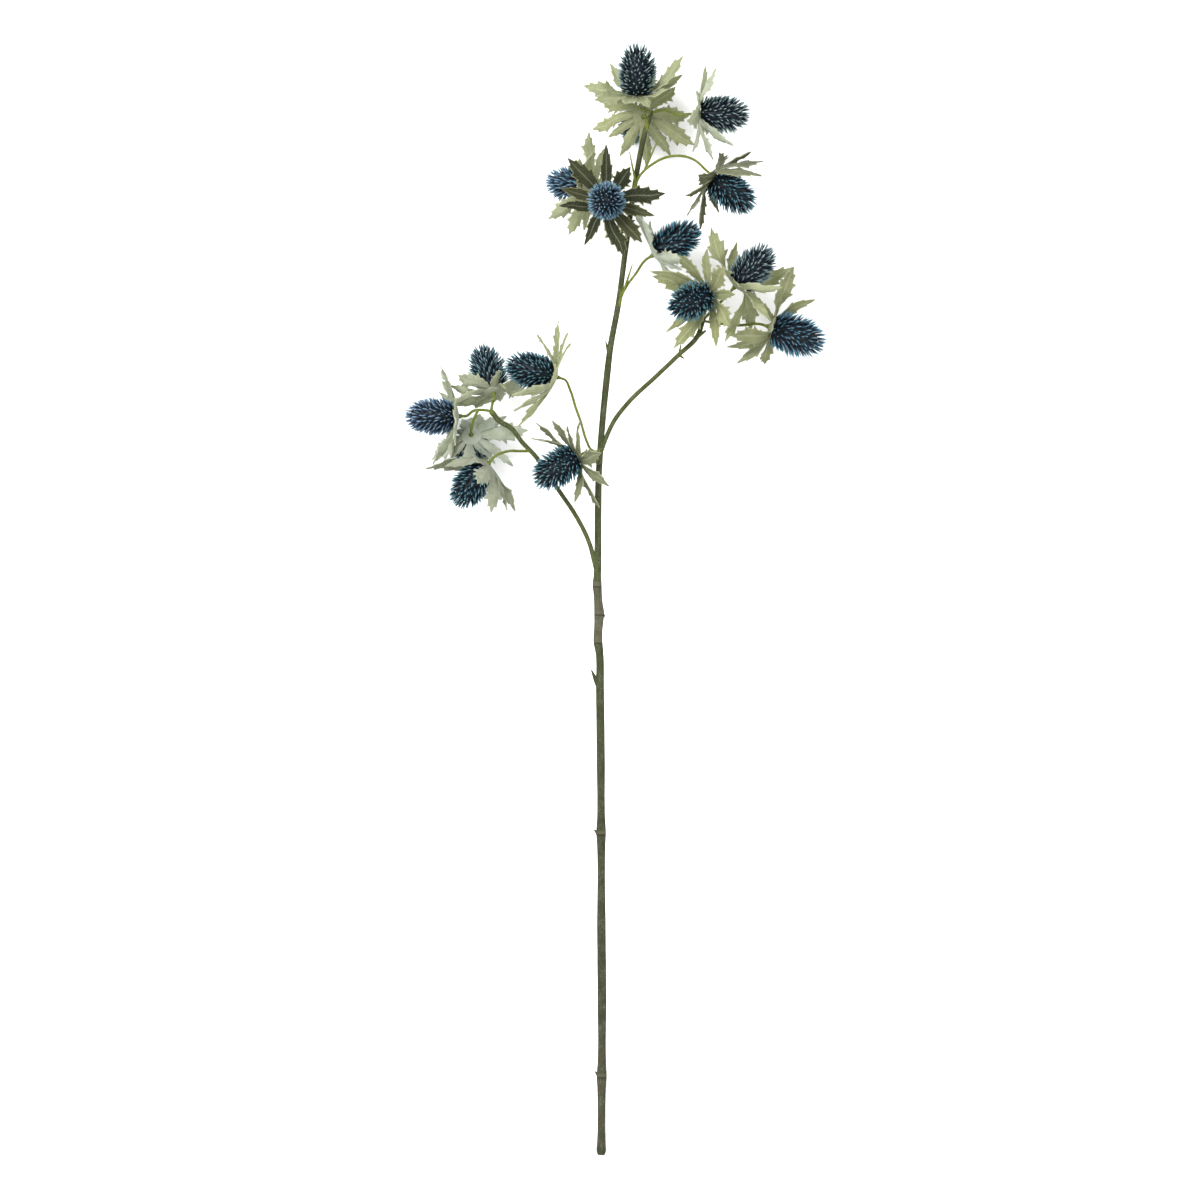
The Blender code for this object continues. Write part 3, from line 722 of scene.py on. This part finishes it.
def set_ages(piece, aged):
    """Give each corner of the piece the age, from 0, old, to 1, young, of the row that it is nearest to."""
    ages = [young for rows, young in aged for _ in rows]
    places = [Vector(row[:3]) for rows, _ in aged for row in rows]
    nearest = KDTree(len(places))
    for number, point in enumerate(places):
        nearest.insert(point, number)
    nearest.balance()
    found = [ages[nearest.find(corner.co)[1]] for corner in piece.data.vertices]
    layer = piece.data.attributes.new("young", "FLOAT", "POINT")
    layer.data.foreach_set("value", np.array(found, np.float32))


def band(tree, along, middle, half):
    """A band round the stem, strongest in its middle and a little see-through."""
    away = maths(tree, "ABSOLUTE", maths(tree, "SUBTRACT", along, middle))
    return eased(tree, away, 0.0, half, 0.75, 0.0)


def stem_material(settings):
    made, tree, shader = new_material("stem_skin")
    mottle, down = felt(tree, 110.0, 1500.0)
    spot = add_node(tree, "ShaderNodeTexCoord").outputs["Object"]
    apart = add_node(tree, "ShaderNodeSeparateXYZ")
    tree.links.new(spot, apart.inputs["Vector"])
    along = apart.outputs["Y"]
    stretched = add_node(tree, "ShaderNodeMapping", {"Scale": (900.0, 45.0, 900.0)})
    tree.links.new(spot, stretched.inputs["Vector"])
    streaks = noise_over(tree, stretched.outputs["Vector"], scale=1.0, detail=3.0, roughness=0.6)
    scars = noise_over(tree, spot, scale=60.0, detail=3.0, distortion=0.6)
    upper = eased(tree, along, -0.25, 0.05)
    young = read_value(tree, "young")
    colour = blended(tree, upper, settings.old_colour, settings.green_colour)
    colour = blended(tree, young, colour, settings.young_colour)
    woody_from, woody_to = (place(0, down_to, 0).y for down_to in WOODY)
    above = eased(tree, along, woody_from, woody_from + WOODY_FADE)
    below = eased(tree, along, woody_to - WOODY_FADE, woody_to, 1.0, 0.0)
    woody = times(tree, above, below)
    colour = blended(tree, times(tree, woody, 0.7), colour, (0.068, 0.064, 0.044, 1))
    lighter = times(tree, mottle, eased(tree, down, 0.5, 0.85))
    colour = blended(tree, times(tree, lighter, 0.45), colour, (0.24, 0.25, 0.18, 1))
    streak = times(tree, eased(tree, streaks.outputs["Fac"], 0.5, 0.72), 0.6)
    colour = blended(tree, streak, colour, (0.012, 0.013, 0.008, 1))
    scar = times(tree, eased(tree, scars.outputs["Fac"], 0.60, 0.68), 0.35)
    scar = times(tree, scar, opposite(tree, young))
    colour = blended(tree, scar, colour, (0.065, 0.045, 0.027, 1))
    for down_to in RINGS:
        middle = place(0, down_to, 0).y
        ring = band(tree, along, middle, RING_HALF)
        colour = blended(tree, ring, colour, (0.075, 0.07, 0.045, 1))
        # Painted shade: a near-black band in the hollow just below each ring
        crease_shade = band(tree, along, middle - CREASE_SHADE_BELOW, CREASE_SHADE_HALF)
        colour = blended(tree, crease_shade, colour, (0.010, 0.009, 0.006, 1))
    tree.links.new(colour, shader.inputs["Base Color"])
    shader.inputs["Roughness"].default_value = 0.8
    shader.inputs["Specular IOR Level"].default_value = 0.08
    height = maths(tree, "ADD", times(tree, down, 0.35), streaks.outputs["Fac"])
    relief(tree, shader, height, 0.35 * MM, 0.7)
    return made


class SEAHOLLY_OT_stem(Operator):
    """Grow the stem with its branches, flower stalks, nodes, stubs and leaflets"""

    bl_idname = "sea_holly.stem"
    bl_label = "Grow Stem"

    def execute(self, context):
        settings = context.scene.sea_holly_stem
        spacing = settings.spacing
        wander = settings.unevenness
        rows = branch_rows(MAIN_STEM, spacing)
        whole = grown("flower_stem", rows, settings.sides, wander)
        aged = [(rows, 0.0)]
        others = []
        for name, route in (("left", LEFT_BRANCH), ("right", RIGHT_BRANCH)):
            rows = branch_rows(route, spacing)
            others.append(grown(name, rows, settings.sides - 2, wander))
            aged.append((rows, BRANCH_AGE))
        for number, start in enumerate(STALKS, 1):
            rows = stalk_rows(start, read_head(number), spacing / 2)
            others.append(grown("stalk", rows, STALK_SIDES, wander))
            aged.append((rows, 1.0))
        for root, tip, root_radius, tip_radius, young in STUBS:
            rows = stub_rows(root, tip, root_radius, tip_radius)
            others.append(grown("stub", rows, STALK_SIDES, 0.0))
            aged.append((rows, young))
        joined(whole, others)
        set_ages(whole, aged)
        only(whole)
        bpy.ops.object.shade_smooth_by_angle(angle=math.radians(50))
        whole.data.materials.clear()
        whole.data.materials.append(stem_material(settings))
        dressed(whole, "stem")
        return {"FINISHED"}


# Cones


def model_spine():
    """One spine up from the middle, 1 high and 1 in radius at its root, in four sides drawn to a point."""
    nothing_selected()
    bpy.ops.mesh.primitive_cylinder_add(vertices=4, radius=1, depth=0.3, location=(0, 0, 0.15))
    made = named(bpy.context.object, "spine")
    bpy.ops.object.transform_apply(location=True)
    bpy.ops.object.mode_set(mode="EDIT")
    for top, rise, narrower in ((0.3, 0.35, 0.8), (0.65, 0.35, 1.0)):
        pick(made, lambda corner: corner.z > top - 0.01)
        bpy.ops.mesh.extrude_region_move(TRANSFORM_OT_translate={"value": (0, 0, rise)})
        bpy.ops.transform.resize(value=(narrower, narrower, 1))
    pick(made, lambda corner: corner.z > 0.99)
    bpy.ops.mesh.merge(type="CENTER")
    bpy.ops.mesh.select_all(action="SELECT")
    bpy.ops.mesh.normals_make_consistent(inside=False)
    bpy.ops.object.mode_set(mode="OBJECT")
    return made


def model_core(size):
    """The ovoid core that carries the spines, flat underneath."""
    nothing_selected()
    half = CORE_HEIGHT * CORE_TAPER * CORE_INSET
    belly = CORE_RADIUS * CORE_INSET
    bpy.ops.mesh.primitive_uv_sphere_add(segments=24, ring_count=16, radius=1)
    made = named(bpy.context.object, "core")
    bpy.ops.object.mode_set(mode="EDIT")
    bpy.ops.mesh.select_all(action="SELECT")
    bpy.ops.transform.resize(value=(belly, belly, half))
    bpy.ops.transform.translate(value=(0, 0, CORE_HEIGHT * WIDEST_AT))
    bpy.ops.mesh.bisect(plane_co=(0, 0, 0), plane_no=(0, 0, 1), use_fill=True, clear_inner=True)
    bpy.ops.mesh.select_all(action="SELECT")
    bpy.ops.transform.resize(value=(size, size, size), center_override=(0, 0, 0))
    bpy.ops.mesh.normals_make_consistent(inside=False)
    bpy.ops.object.mode_set(mode="OBJECT")
    return made


def spine_places(count):
    """Shares of the core's height, spread so that the spines stand evenly over its surface."""
    shares = np.linspace(0.0, WIDEST_AT + CORE_TAPER * 0.995, 400)
    radii = np.sqrt(np.clip(1 - ((shares - WIDEST_AT) / CORE_TAPER) ** 2, 0, None))
    steps = np.hypot(np.diff(radii) * CORE_RADIUS, np.diff(shares) * CORE_HEIGHT)
    area = np.concatenate([[0], np.cumsum(steps * (radii[1:] + radii[:-1]) / 2)])
    return np.interp((np.arange(count) + 0.5) / count * area[-1], area, shares)


def spine_sweep(share):
    """How far a spine leans from square to the cone's axis towards its tip, by its place on the core."""
    low = ROOT_SWEEP + (SWEEP - ROOT_SWEEP) * min(1, share / SWEEP_BY)
    return low + TOP_SWEEP * max(0, (share - TOP_FROM) / (1 - TOP_FROM)) ** TOP_CURVE


def bent_spine(template, root, ways, length, radius):
    """The spine's corners, bent along a curve from its root through two directions, with its width across."""
    first, last, across = ways
    middle = root + first * length * 0.5
    tip = middle + last * length * 0.5
    t = template[:, 2:3]
    line = root * (1 - t) ** 2 + middle * 2 * t * (1 - t) + tip * t**2
    slope = (middle - root) * (1 - t) + (tip - middle) * t
    slope /= np.linalg.norm(slope, axis=1)[:, None]
    other = np.cross(slope, across)
    return line + across * template[:, 0:1] * radius + other * template[:, 1:2] * radius


def foot_of(head):
    """The middle of the cone's foot and the head's three directions, as arrays."""
    axis, up, side = (np.array(head[name]) for name in ("axis", "up", "side"))
    return np.array(head["base"]) + axis * (RUFF_HALF + GAP), axis, up, side


def spines_on(heap, head, template, faces, settings, seed):
    """Set the spines round the core, each a little different."""
    draw = random.Random(seed)
    foot, axis, up, side = foot_of(head)
    golden = math.pi * (3 - math.sqrt(5))
    for k, share in enumerate(spine_places(settings.spines)):
        turn = k * golden + draw.uniform(-TURN_WANDER, TURN_WANDER)
        out = up * math.cos(turn) + side * math.sin(turn)
        across = side * math.cos(turn) - up * math.sin(turn)
        radius = CORE_RADIUS * SPINE_INSET * math.sqrt(max(0, 1 - ((share - WIDEST_AT) / CORE_TAPER) ** 2))
        root = foot + (axis * CORE_HEIGHT * share + out * radius) * head["size"]
        sweep = spine_sweep(share) + draw.uniform(-SWEEP_WANDER, SWEEP_WANDER)
        lean = across * draw.uniform(-SIDE_WANDER, SIDE_WANDER)
        first = out * math.cos(sweep) + axis * math.sin(sweep) + lean
        later = min(sweep + BEND, math.pi / 2)
        last = out * math.cos(later) + axis * math.sin(later) + lean
        length = settings.spine_length * draw.uniform(*SPINE_SHARES)
        room = (CONE_REACH - CORE_HEIGHT * share) / max(0.1, math.sin(later))
        corners = bent_spine(
            template, root, (first, last, across), min(length, room) * head["size"], settings.spine_radius,
        )
        heap.add(corners, faces, along=template[:, 2], own=draw.random())


def turned_onto(head, corners):
    """Corners modelled upright at the middle, moved onto the head's foot."""
    foot, axis, up, side = foot_of(head)
    return foot + corners[:, 0:1] * side + corners[:, 1:2] * up + corners[:, 2:3] * axis


def cone_material(settings):
    made, tree, shader = new_material("spine_skin")
    along = read_value(tree, "along")
    own = read_value(tree, "own")
    vivid = read_value(tree, "vivid")
    _, down = felt(tree, 220.0, 2600.0)
    body = blended(tree, vivid, settings.muted_colour, settings.vivid_colour)
    # The pale colours towards each spine's end are partly the spines' own paler ends and partly painted
    # highlight where the ends catch the light
    tips_with_highlight = blended(tree, vivid, (0.46, 0.54, 0.46, 1), (0.15, 0.36, 0.42, 1))
    # Painted shade: the core and the lower part of each spine take the near-black root colour of the shade deep
    # in the cone
    colour = blended(tree, eased(tree, along, 0.25, 0.7), settings.root_shade_colour, body)
    colour = blended(tree, times(tree, eased(tree, along, 0.5, 1.0), 0.85), colour, tips_with_highlight)
    dusty = times(tree, eased(tree, own, 0.55, 1.0), 0.4)
    colour = blended(tree, times(tree, dusty, along), colour, (0.34, 0.40, 0.42, 1))
    violet = read_value(tree, "violet")
    colour = blended(tree, times(tree, violet, along), colour, (0.19, 0.29, 0.52, 1))
    darker = times(tree, eased(tree, own, 0.45, 0.0), 0.6)
    colour = blended(tree, darker, colour, (0.004, 0.02, 0.04, 1))
    tree.links.new(colour, shader.inputs["Base Color"])
    shader.inputs["Roughness"].default_value = 0.5
    shader.inputs["Specular IOR Level"].default_value = 0.3
    normal = relief(tree, shader, down, 0.1 * MM, 0.5)
    glow = blended(tree, vivid, (0.40, 0.52, 0.42, 1), (0.0, 0.55, 0.70, 1))
    glow = blended(tree, eased(tree, along, 0.25, 0.85), (0.0, 0.005, 0.01, 1), glow)
    let_light_through(tree, shader, glow, 0.4, normal)
    return made


class SEAHOLLY_OT_cones(Operator):
    """Cover a core with spines for each of the flower cones"""

    bl_idname = "sea_holly.cones"
    bl_label = "Grow Cones"

    def execute(self, context):
        settings = context.scene.sea_holly_cones
        spine = model_spine()
        template, faces = mesh_arrays(spine)
        look = cone_material(settings)
        for number in range(1, HEAD_COUNT + 1):
            head = read_head(number)
            heap = Heap()
            core = model_core(head["size"])
            corners, core_faces = mesh_arrays(core)
            heap.add(turned_onto(head, corners), core_faces, along=0.0, own=0.5)
            bpy.data.objects.remove(core)
            spines_on(heap, head, template, faces, settings, number)
            heap.values["vivid"] = [np.full(heap.count, HEAD_LOOKS[number - 1][2])]
            heap.values["violet"] = [np.full(heap.count, VIOLET_HEADS.get(number, 0.0))]
            dressed(heap.piece(f"spiny_cone_{number:02d}", look), f"cone_{number:02d}")
        bpy.data.objects.remove(spine)
        return {"FINISHED"}


# Ruffs


def model_blade(name, outline, length, settings):
    """A bract laid flat along X with its root at 0: the rows of a grid are spread to the outline, its edges
    lifted from the rib and its teeth drawn forward, and it is then given its thickness."""
    nothing_selected()
    columns = BLADE_COLUMNS
    aside = 10
    bpy.ops.mesh.primitive_grid_add(x_subdivisions=len(outline) - 1, y_subdivisions=columns, size=2)
    made = named(bpy.context.object, name)
    bpy.ops.object.mode_set(mode="EDIT")
    rows = len(outline)
    for number, (share, width) in enumerate(outline):
        before = -1 + 2 * number / (rows - 1)
        last = number == rows - 1
        tooth = not last and outline[number + 1][0] - share < TOOTH_STEP
        for column in range(columns + 1):
            y = -1 + 2 * column / columns
            away = abs(y)
            lean = TOOTH_LEAN * max(0, away - 0.5) * 2 if tooth else 0
            rise = settings.fold * away**FOLD_CURVE * width * MM
            rise += RIB_DEPTH * min(1, away * 3) * min(1, 4 * (1 - max(0, share)))
            pick(made, lambda corner: abs(corner.x - before) < 1e-4 and abs(corner.y - y) < 1e-4)
            move = (share * length + lean * length - before + aside, y * (width * MM - 1), rise)
            bpy.ops.transform.translate(value=move)
    bpy.ops.mesh.select_all(action="SELECT")
    bpy.ops.transform.translate(value=(-aside, 0, 0))
    bpy.ops.object.mode_set(mode="OBJECT")
    bpy.ops.object.modifier_add(type="SOLIDIFY")
    shell = made.modifiers[-1]
    shell.thickness = settings.thickness
    shell.offset = 0
    bpy.ops.object.modifier_apply(modifier=shell.name)
    return made


def blade_values(piece, outline, length):
    """For each corner of a blade: its share along, the blade's width there, its share across from -1 to 1,
    and whether it is on top."""
    corners, faces = mesh_arrays(piece)
    shares = corners[:, 0] / length
    widths = np.interp(shares, [stop[0] for stop in outline], [stop[1] * MM for stop in outline])
    tops = np.array([corner.normal.z > 0 for corner in piece.data.vertices], float)
    return corners, faces, shares, widths, np.clip(corners[:, 1] / widths, -1, 1), tops


def lay_blade(heap, head, bract, blade, draw):
    """Bend a copy of the blade along its bract's rib."""
    corners, faces, shares, widths, sides, tops = blade
    scale = min(1, bract["length"] / FULL_LENGTH) * draw.uniform(0.93, 1.0)
    start = draw.uniform(0, 2 * math.pi)
    laid = []
    for (_, y, z), share, side, width in zip(corners, shares, sides, widths):
        point, across, upper, reach = on_bract(head, bract, share)
        narrower = min(1, room_at(bract, share, reach) / (width * scale))
        wave = RIPPLE_HEIGHT * math.sin(share * RIPPLE_RATE + start + side * RIPPLE_SKEW)
        wave *= abs(side) * min(1, max(0, share) * 4)
        rise = z * (0.5 + 0.5 * narrower) + wave * narrower
        laid.append(point + across * y * scale * narrower + upper * rise)
    heap.add(laid, faces, along=shares, across=sides, upper=tops, own=draw.random())


def model_hub():
    """The shallow cup in the middle of a ruff where the bracts meet."""
    nothing_selected()
    bpy.ops.mesh.primitive_uv_sphere_add(segments=20, ring_count=10, radius=1)
    made = named(bpy.context.object, "hub")
    bpy.ops.object.mode_set(mode="EDIT")
    bpy.ops.mesh.select_all(action="SELECT")
    bpy.ops.transform.resize(value=(RUFF_RADIUS * 0.97, RUFF_RADIUS * 0.97, RUFF_HALF))
    pick(made, lambda corner: corner.z < -RUFF_HALF * 0.93)
    bpy.ops.transform.translate(value=(0, 0, -GAP))
    bpy.ops.object.mode_set(mode="OBJECT")
    return made


def ruff_material(settings):
    made, tree, shader = new_material("bract_felt")
    along = read_value(tree, "along")
    away = maths(tree, "ABSOLUTE", read_value(tree, "across"))
    upper = read_value(tree, "upper")
    dark = read_value(tree, "dark")
    silver = read_value(tree, "silver")
    own = read_value(tree, "own")
    mottle, down = felt(tree, 130.0, 1700.0)
    rib = eased(tree, away, 0.03, 0.13, 1.0, 0.0)
    edge = eased(tree, away, 0.8, 1.0)
    slant = maths(tree, "SUBTRACT", times(tree, along, 11.0), times(tree, away, 2.4))
    vein = eased(tree, maths(tree, "PINGPONG", slant, 0.5), 0.0, 0.13, 1.0, 0.0)
    between = eased(tree, maths(tree, "PINGPONG", slant, 0.5), 0.2, 0.5)
    colour = blended(tree, silver, settings.sage_colour, settings.silver_colour)
    felted = maths(tree, "ADD", times(tree, silver, 0.6), 0.15)
    colour = blended(tree, times(tree, opposite(tree, upper), felted), colour, settings.silver_colour)
    seen = maths(tree, "ADD", times(tree, upper, 0.3), 0.7)
    darkness = times(tree, times(tree, dark, seen), eased(tree, edge, 1.0, 0.3))
    colour = blended(tree, darkness, colour, settings.dark_colour)
    colour = blended(tree, times(tree, mottle, 0.5), colour, (0.26, 0.30, 0.20, 1), "MULTIPLY")
    colour = blended(tree, times(tree, between, 0.35), colour, (0.42, 0.48, 0.36, 1), "MULTIPLY")
    # Painted shadow: the top faces darken towards the middle of the ruff, where the cone's shadow falls
    painted_cone_shadow = eased(tree, along, 0.05, 0.5, 0.6, 0.0)
    colour = blended(tree, times(tree, painted_cone_shadow, upper), colour, (0.20, 0.27, 0.20, 1), "MULTIPLY")
    pale = maths(tree, "ADD", times(tree, rib, 0.55), times(tree, edge, 0.35))
    pale = maths(tree, "ADD", pale, times(tree, vein, 0.22))
    pale = times(tree, pale, opposite(tree, times(tree, dark, 0.6)))
    colour = blended(tree, pale, colour, settings.edge_colour)
    colour = blended(tree, times(tree, own, 0.16), colour, (0.34, 0.33, 0.14, 1))
    speckle = times(tree, eased(tree, down, 0.45, 0.9), 0.4)
    speckle = times(tree, speckle, opposite(tree, times(tree, dark, 0.8)))
    colour = blended(tree, speckle, colour, (0.66, 0.68, 0.52, 1))
    tree.links.new(colour, shader.inputs["Base Color"])
    shader.inputs["Roughness"].default_value = 0.85
    shader.inputs["Specular IOR Level"].default_value = 0.12
    height = maths(tree, "SUBTRACT", times(tree, down, 0.5), times(tree, vein, 0.5))
    normal = relief(tree, shader, height, 0.4 * MM, 0.8)
    glow = blended(tree, silver, settings.glow_colour, (0.50, 0.57, 0.45, 1))
    glow = blended(tree, times(tree, dark, 0.98), glow, (0.03, 0.045, 0.015, 1))
    let_light_through(tree, shader, glow, 0.38, normal)
    return made


class SEAHOLLY_OT_ruffs(Operator):
    """Lay ten toothed bracts in a ruff under each cone"""

    bl_idname = "sea_holly.ruffs"
    bl_label = "Grow Ruffs"

    def execute(self, context):
        settings = context.scene.sea_holly_ruffs
        blades = []
        for name, outline, length in (
            ("broad", BROAD_OUTLINE, BROAD_LENGTH), ("narrow", NARROW_OUTLINE, NARROW_LENGTH),
        ):
            piece = model_blade(name, outline, length, settings)
            blades.append(blade_values(piece, outline, length))
            bpy.data.objects.remove(piece)
        hub = model_hub()
        hub_corners, hub_faces = mesh_arrays(hub)
        bpy.data.objects.remove(hub)
        look = ruff_material(settings)
        for number in range(1, HEAD_COUNT + 1):
            draw = random.Random(100 + number)
            head = read_head(number)
            heap = Heap()
            middle = turned_onto(head, hub_corners - np.array([0, 0, RUFF_HALF + GAP]))
            heap.add(middle, hub_faces, along=0.0, across=0.5, upper=0.0, own=0.5)
            for bract in head["bracts"]:
                lay_blade(heap, head, bract, blades[0 if bract["broad"] else 1], draw)
            dark, silver, _ = HEAD_LOOKS[number - 1]
            heap.values["dark"] = [np.full(heap.count, dark)]
            heap.values["silver"] = [np.full(heap.count, silver)]
            dressed(heap.piece(f"bract_ruff_{number:02d}", look), f"ruff_{number:02d}")
        return {"FINISHED"}


# Stage


def plain_white(name, colour):
    made, tree, shader = new_material(name)
    grain = add_node(tree, "ShaderNodeTexNoise", {"Scale": 40.0})
    shade = eased(tree, grain.outputs["Fac"], 0.0, 1.0, 0.97, 1.0)
    tree.links.new(blended(tree, shade, (0, 0, 0, 1), colour), shader.inputs["Base Color"])
    shader.inputs["Roughness"].default_value = 0.9
    return made


def soft_light(name, place_of, aim, side, power):
    light = bpy.data.lights.new(name, "AREA")
    light.shape = "SQUARE"
    light.size = side
    light.energy = power
    made = bpy.data.objects.new(name, light)
    made.location = place_of
    made.rotation_euler = (Vector(aim) - Vector(place_of)).to_track_quat("-Z", "Y").to_euler()
    bpy.context.scene.collection.objects.link(made)
    return made


class SEAHOLLY_OT_stage(Operator):
    """Set the floor, the even light, the main light and the camera that looks straight down"""

    bl_idname = "sea_holly.stage"
    bl_label = "Set Stage"

    def execute(self, context):
        settings = context.scene.sea_holly_stage
        scene = context.scene
        nothing_selected()
        bpy.ops.mesh.primitive_plane_add(size=settings.floor_side)
        floor = named(bpy.context.object, "floor")
        floor.data.materials.append(plain_white("pale_floor", (0.98, 0.98, 0.98, 1)))
        world = bpy.data.worlds.new("even_light")
        world.use_nodes = True
        sky = world.node_tree.nodes["Background"]
        sky.inputs["Color"].default_value = (1, 1, 1, 1)
        sky.inputs["Strength"].default_value = settings.sky
        scene.world = world
        low, high = (Vector(corner) for corner in CAD_BOX)
        aim = (low + high) / 2
        soft_light("key", aim + Vector((-1.3, 1.2, 2.2)), aim, 1.4, settings.key)
        soft_light("fill", aim + Vector((1.8, -0.6, 1.6)), aim, 1.6, settings.key * 0.3)
        picture = PICTURE_SIDE * PIXEL
        lens = bpy.data.cameras.new("camera")
        lens.sensor_width = 36
        lens.lens = lens.sensor_width * settings.camera_height / picture
        camera = bpy.data.objects.new("camera", lens)
        middle = place(PICTURE_SIDE / 2, PICTURE_SIDE / 2, 0)
        camera.location = (middle.x, middle.y, aim.z + settings.camera_height)
        scene.collection.objects.link(camera)
        scene.camera = camera
        scene.view_settings.view_transform = "Standard"
        return {"FINISHED"}


class SEAHOLLY_PT_panel(Panel):
    """Sea holly tools in the 3D view's sidebar"""

    bl_idname = "SEAHOLLY_PT_panel"
    bl_label = "Sea Holly Stem"
    bl_space_type = "VIEW_3D"
    bl_region_type = "UI"
    bl_category = "Sea Holly"

    def draw(self, context):
        for kind, group in ((SEAHOLLY_OT_stem, "sea_holly_stem"), (SEAHOLLY_OT_cones, "sea_holly_cones"),
                            (SEAHOLLY_OT_ruffs, "sea_holly_ruffs"), (SEAHOLLY_OT_stage, "sea_holly_stage")):
            box = self.layout.box()
            settings = getattr(context.scene, group)
            for name in settings.bl_rna.properties.keys():
                if name not in ("rna_type", "name"):
                    box.prop(settings, name)
            box.operator(kind.bl_idname)


SETTINGS = {
    "sea_holly_stem": SeaHollyStemSettings,
    "sea_holly_cones": SeaHollyConeSettings,
    "sea_holly_ruffs": SeaHollyRuffSettings,
    "sea_holly_stage": SeaHollyStageSettings,
}
TOOLS = (SEAHOLLY_OT_stem, SEAHOLLY_OT_cones, SEAHOLLY_OT_ruffs, SEAHOLLY_OT_stage, SEAHOLLY_PT_panel)


def register():
    for name, kind in SETTINGS.items():
        bpy.utils.register_class(kind)
        setattr(bpy.types.Scene, name, PointerProperty(type=kind))
    for kind in TOOLS:
        bpy.utils.register_class(kind)


def unregister():
    for kind in reversed(TOOLS):
        bpy.utils.unregister_class(kind)
    for name, kind in reversed(SETTINGS.items()):
        delattr(bpy.types.Scene, name)
        bpy.utils.unregister_class(kind)


def main():
    register()
    bpy.ops.sea_holly.stage()
    bpy.ops.sea_holly.stem()
    bpy.ops.sea_holly.cones()
    bpy.ops.sea_holly.ruffs()


if __name__ == "__main__":
    main()
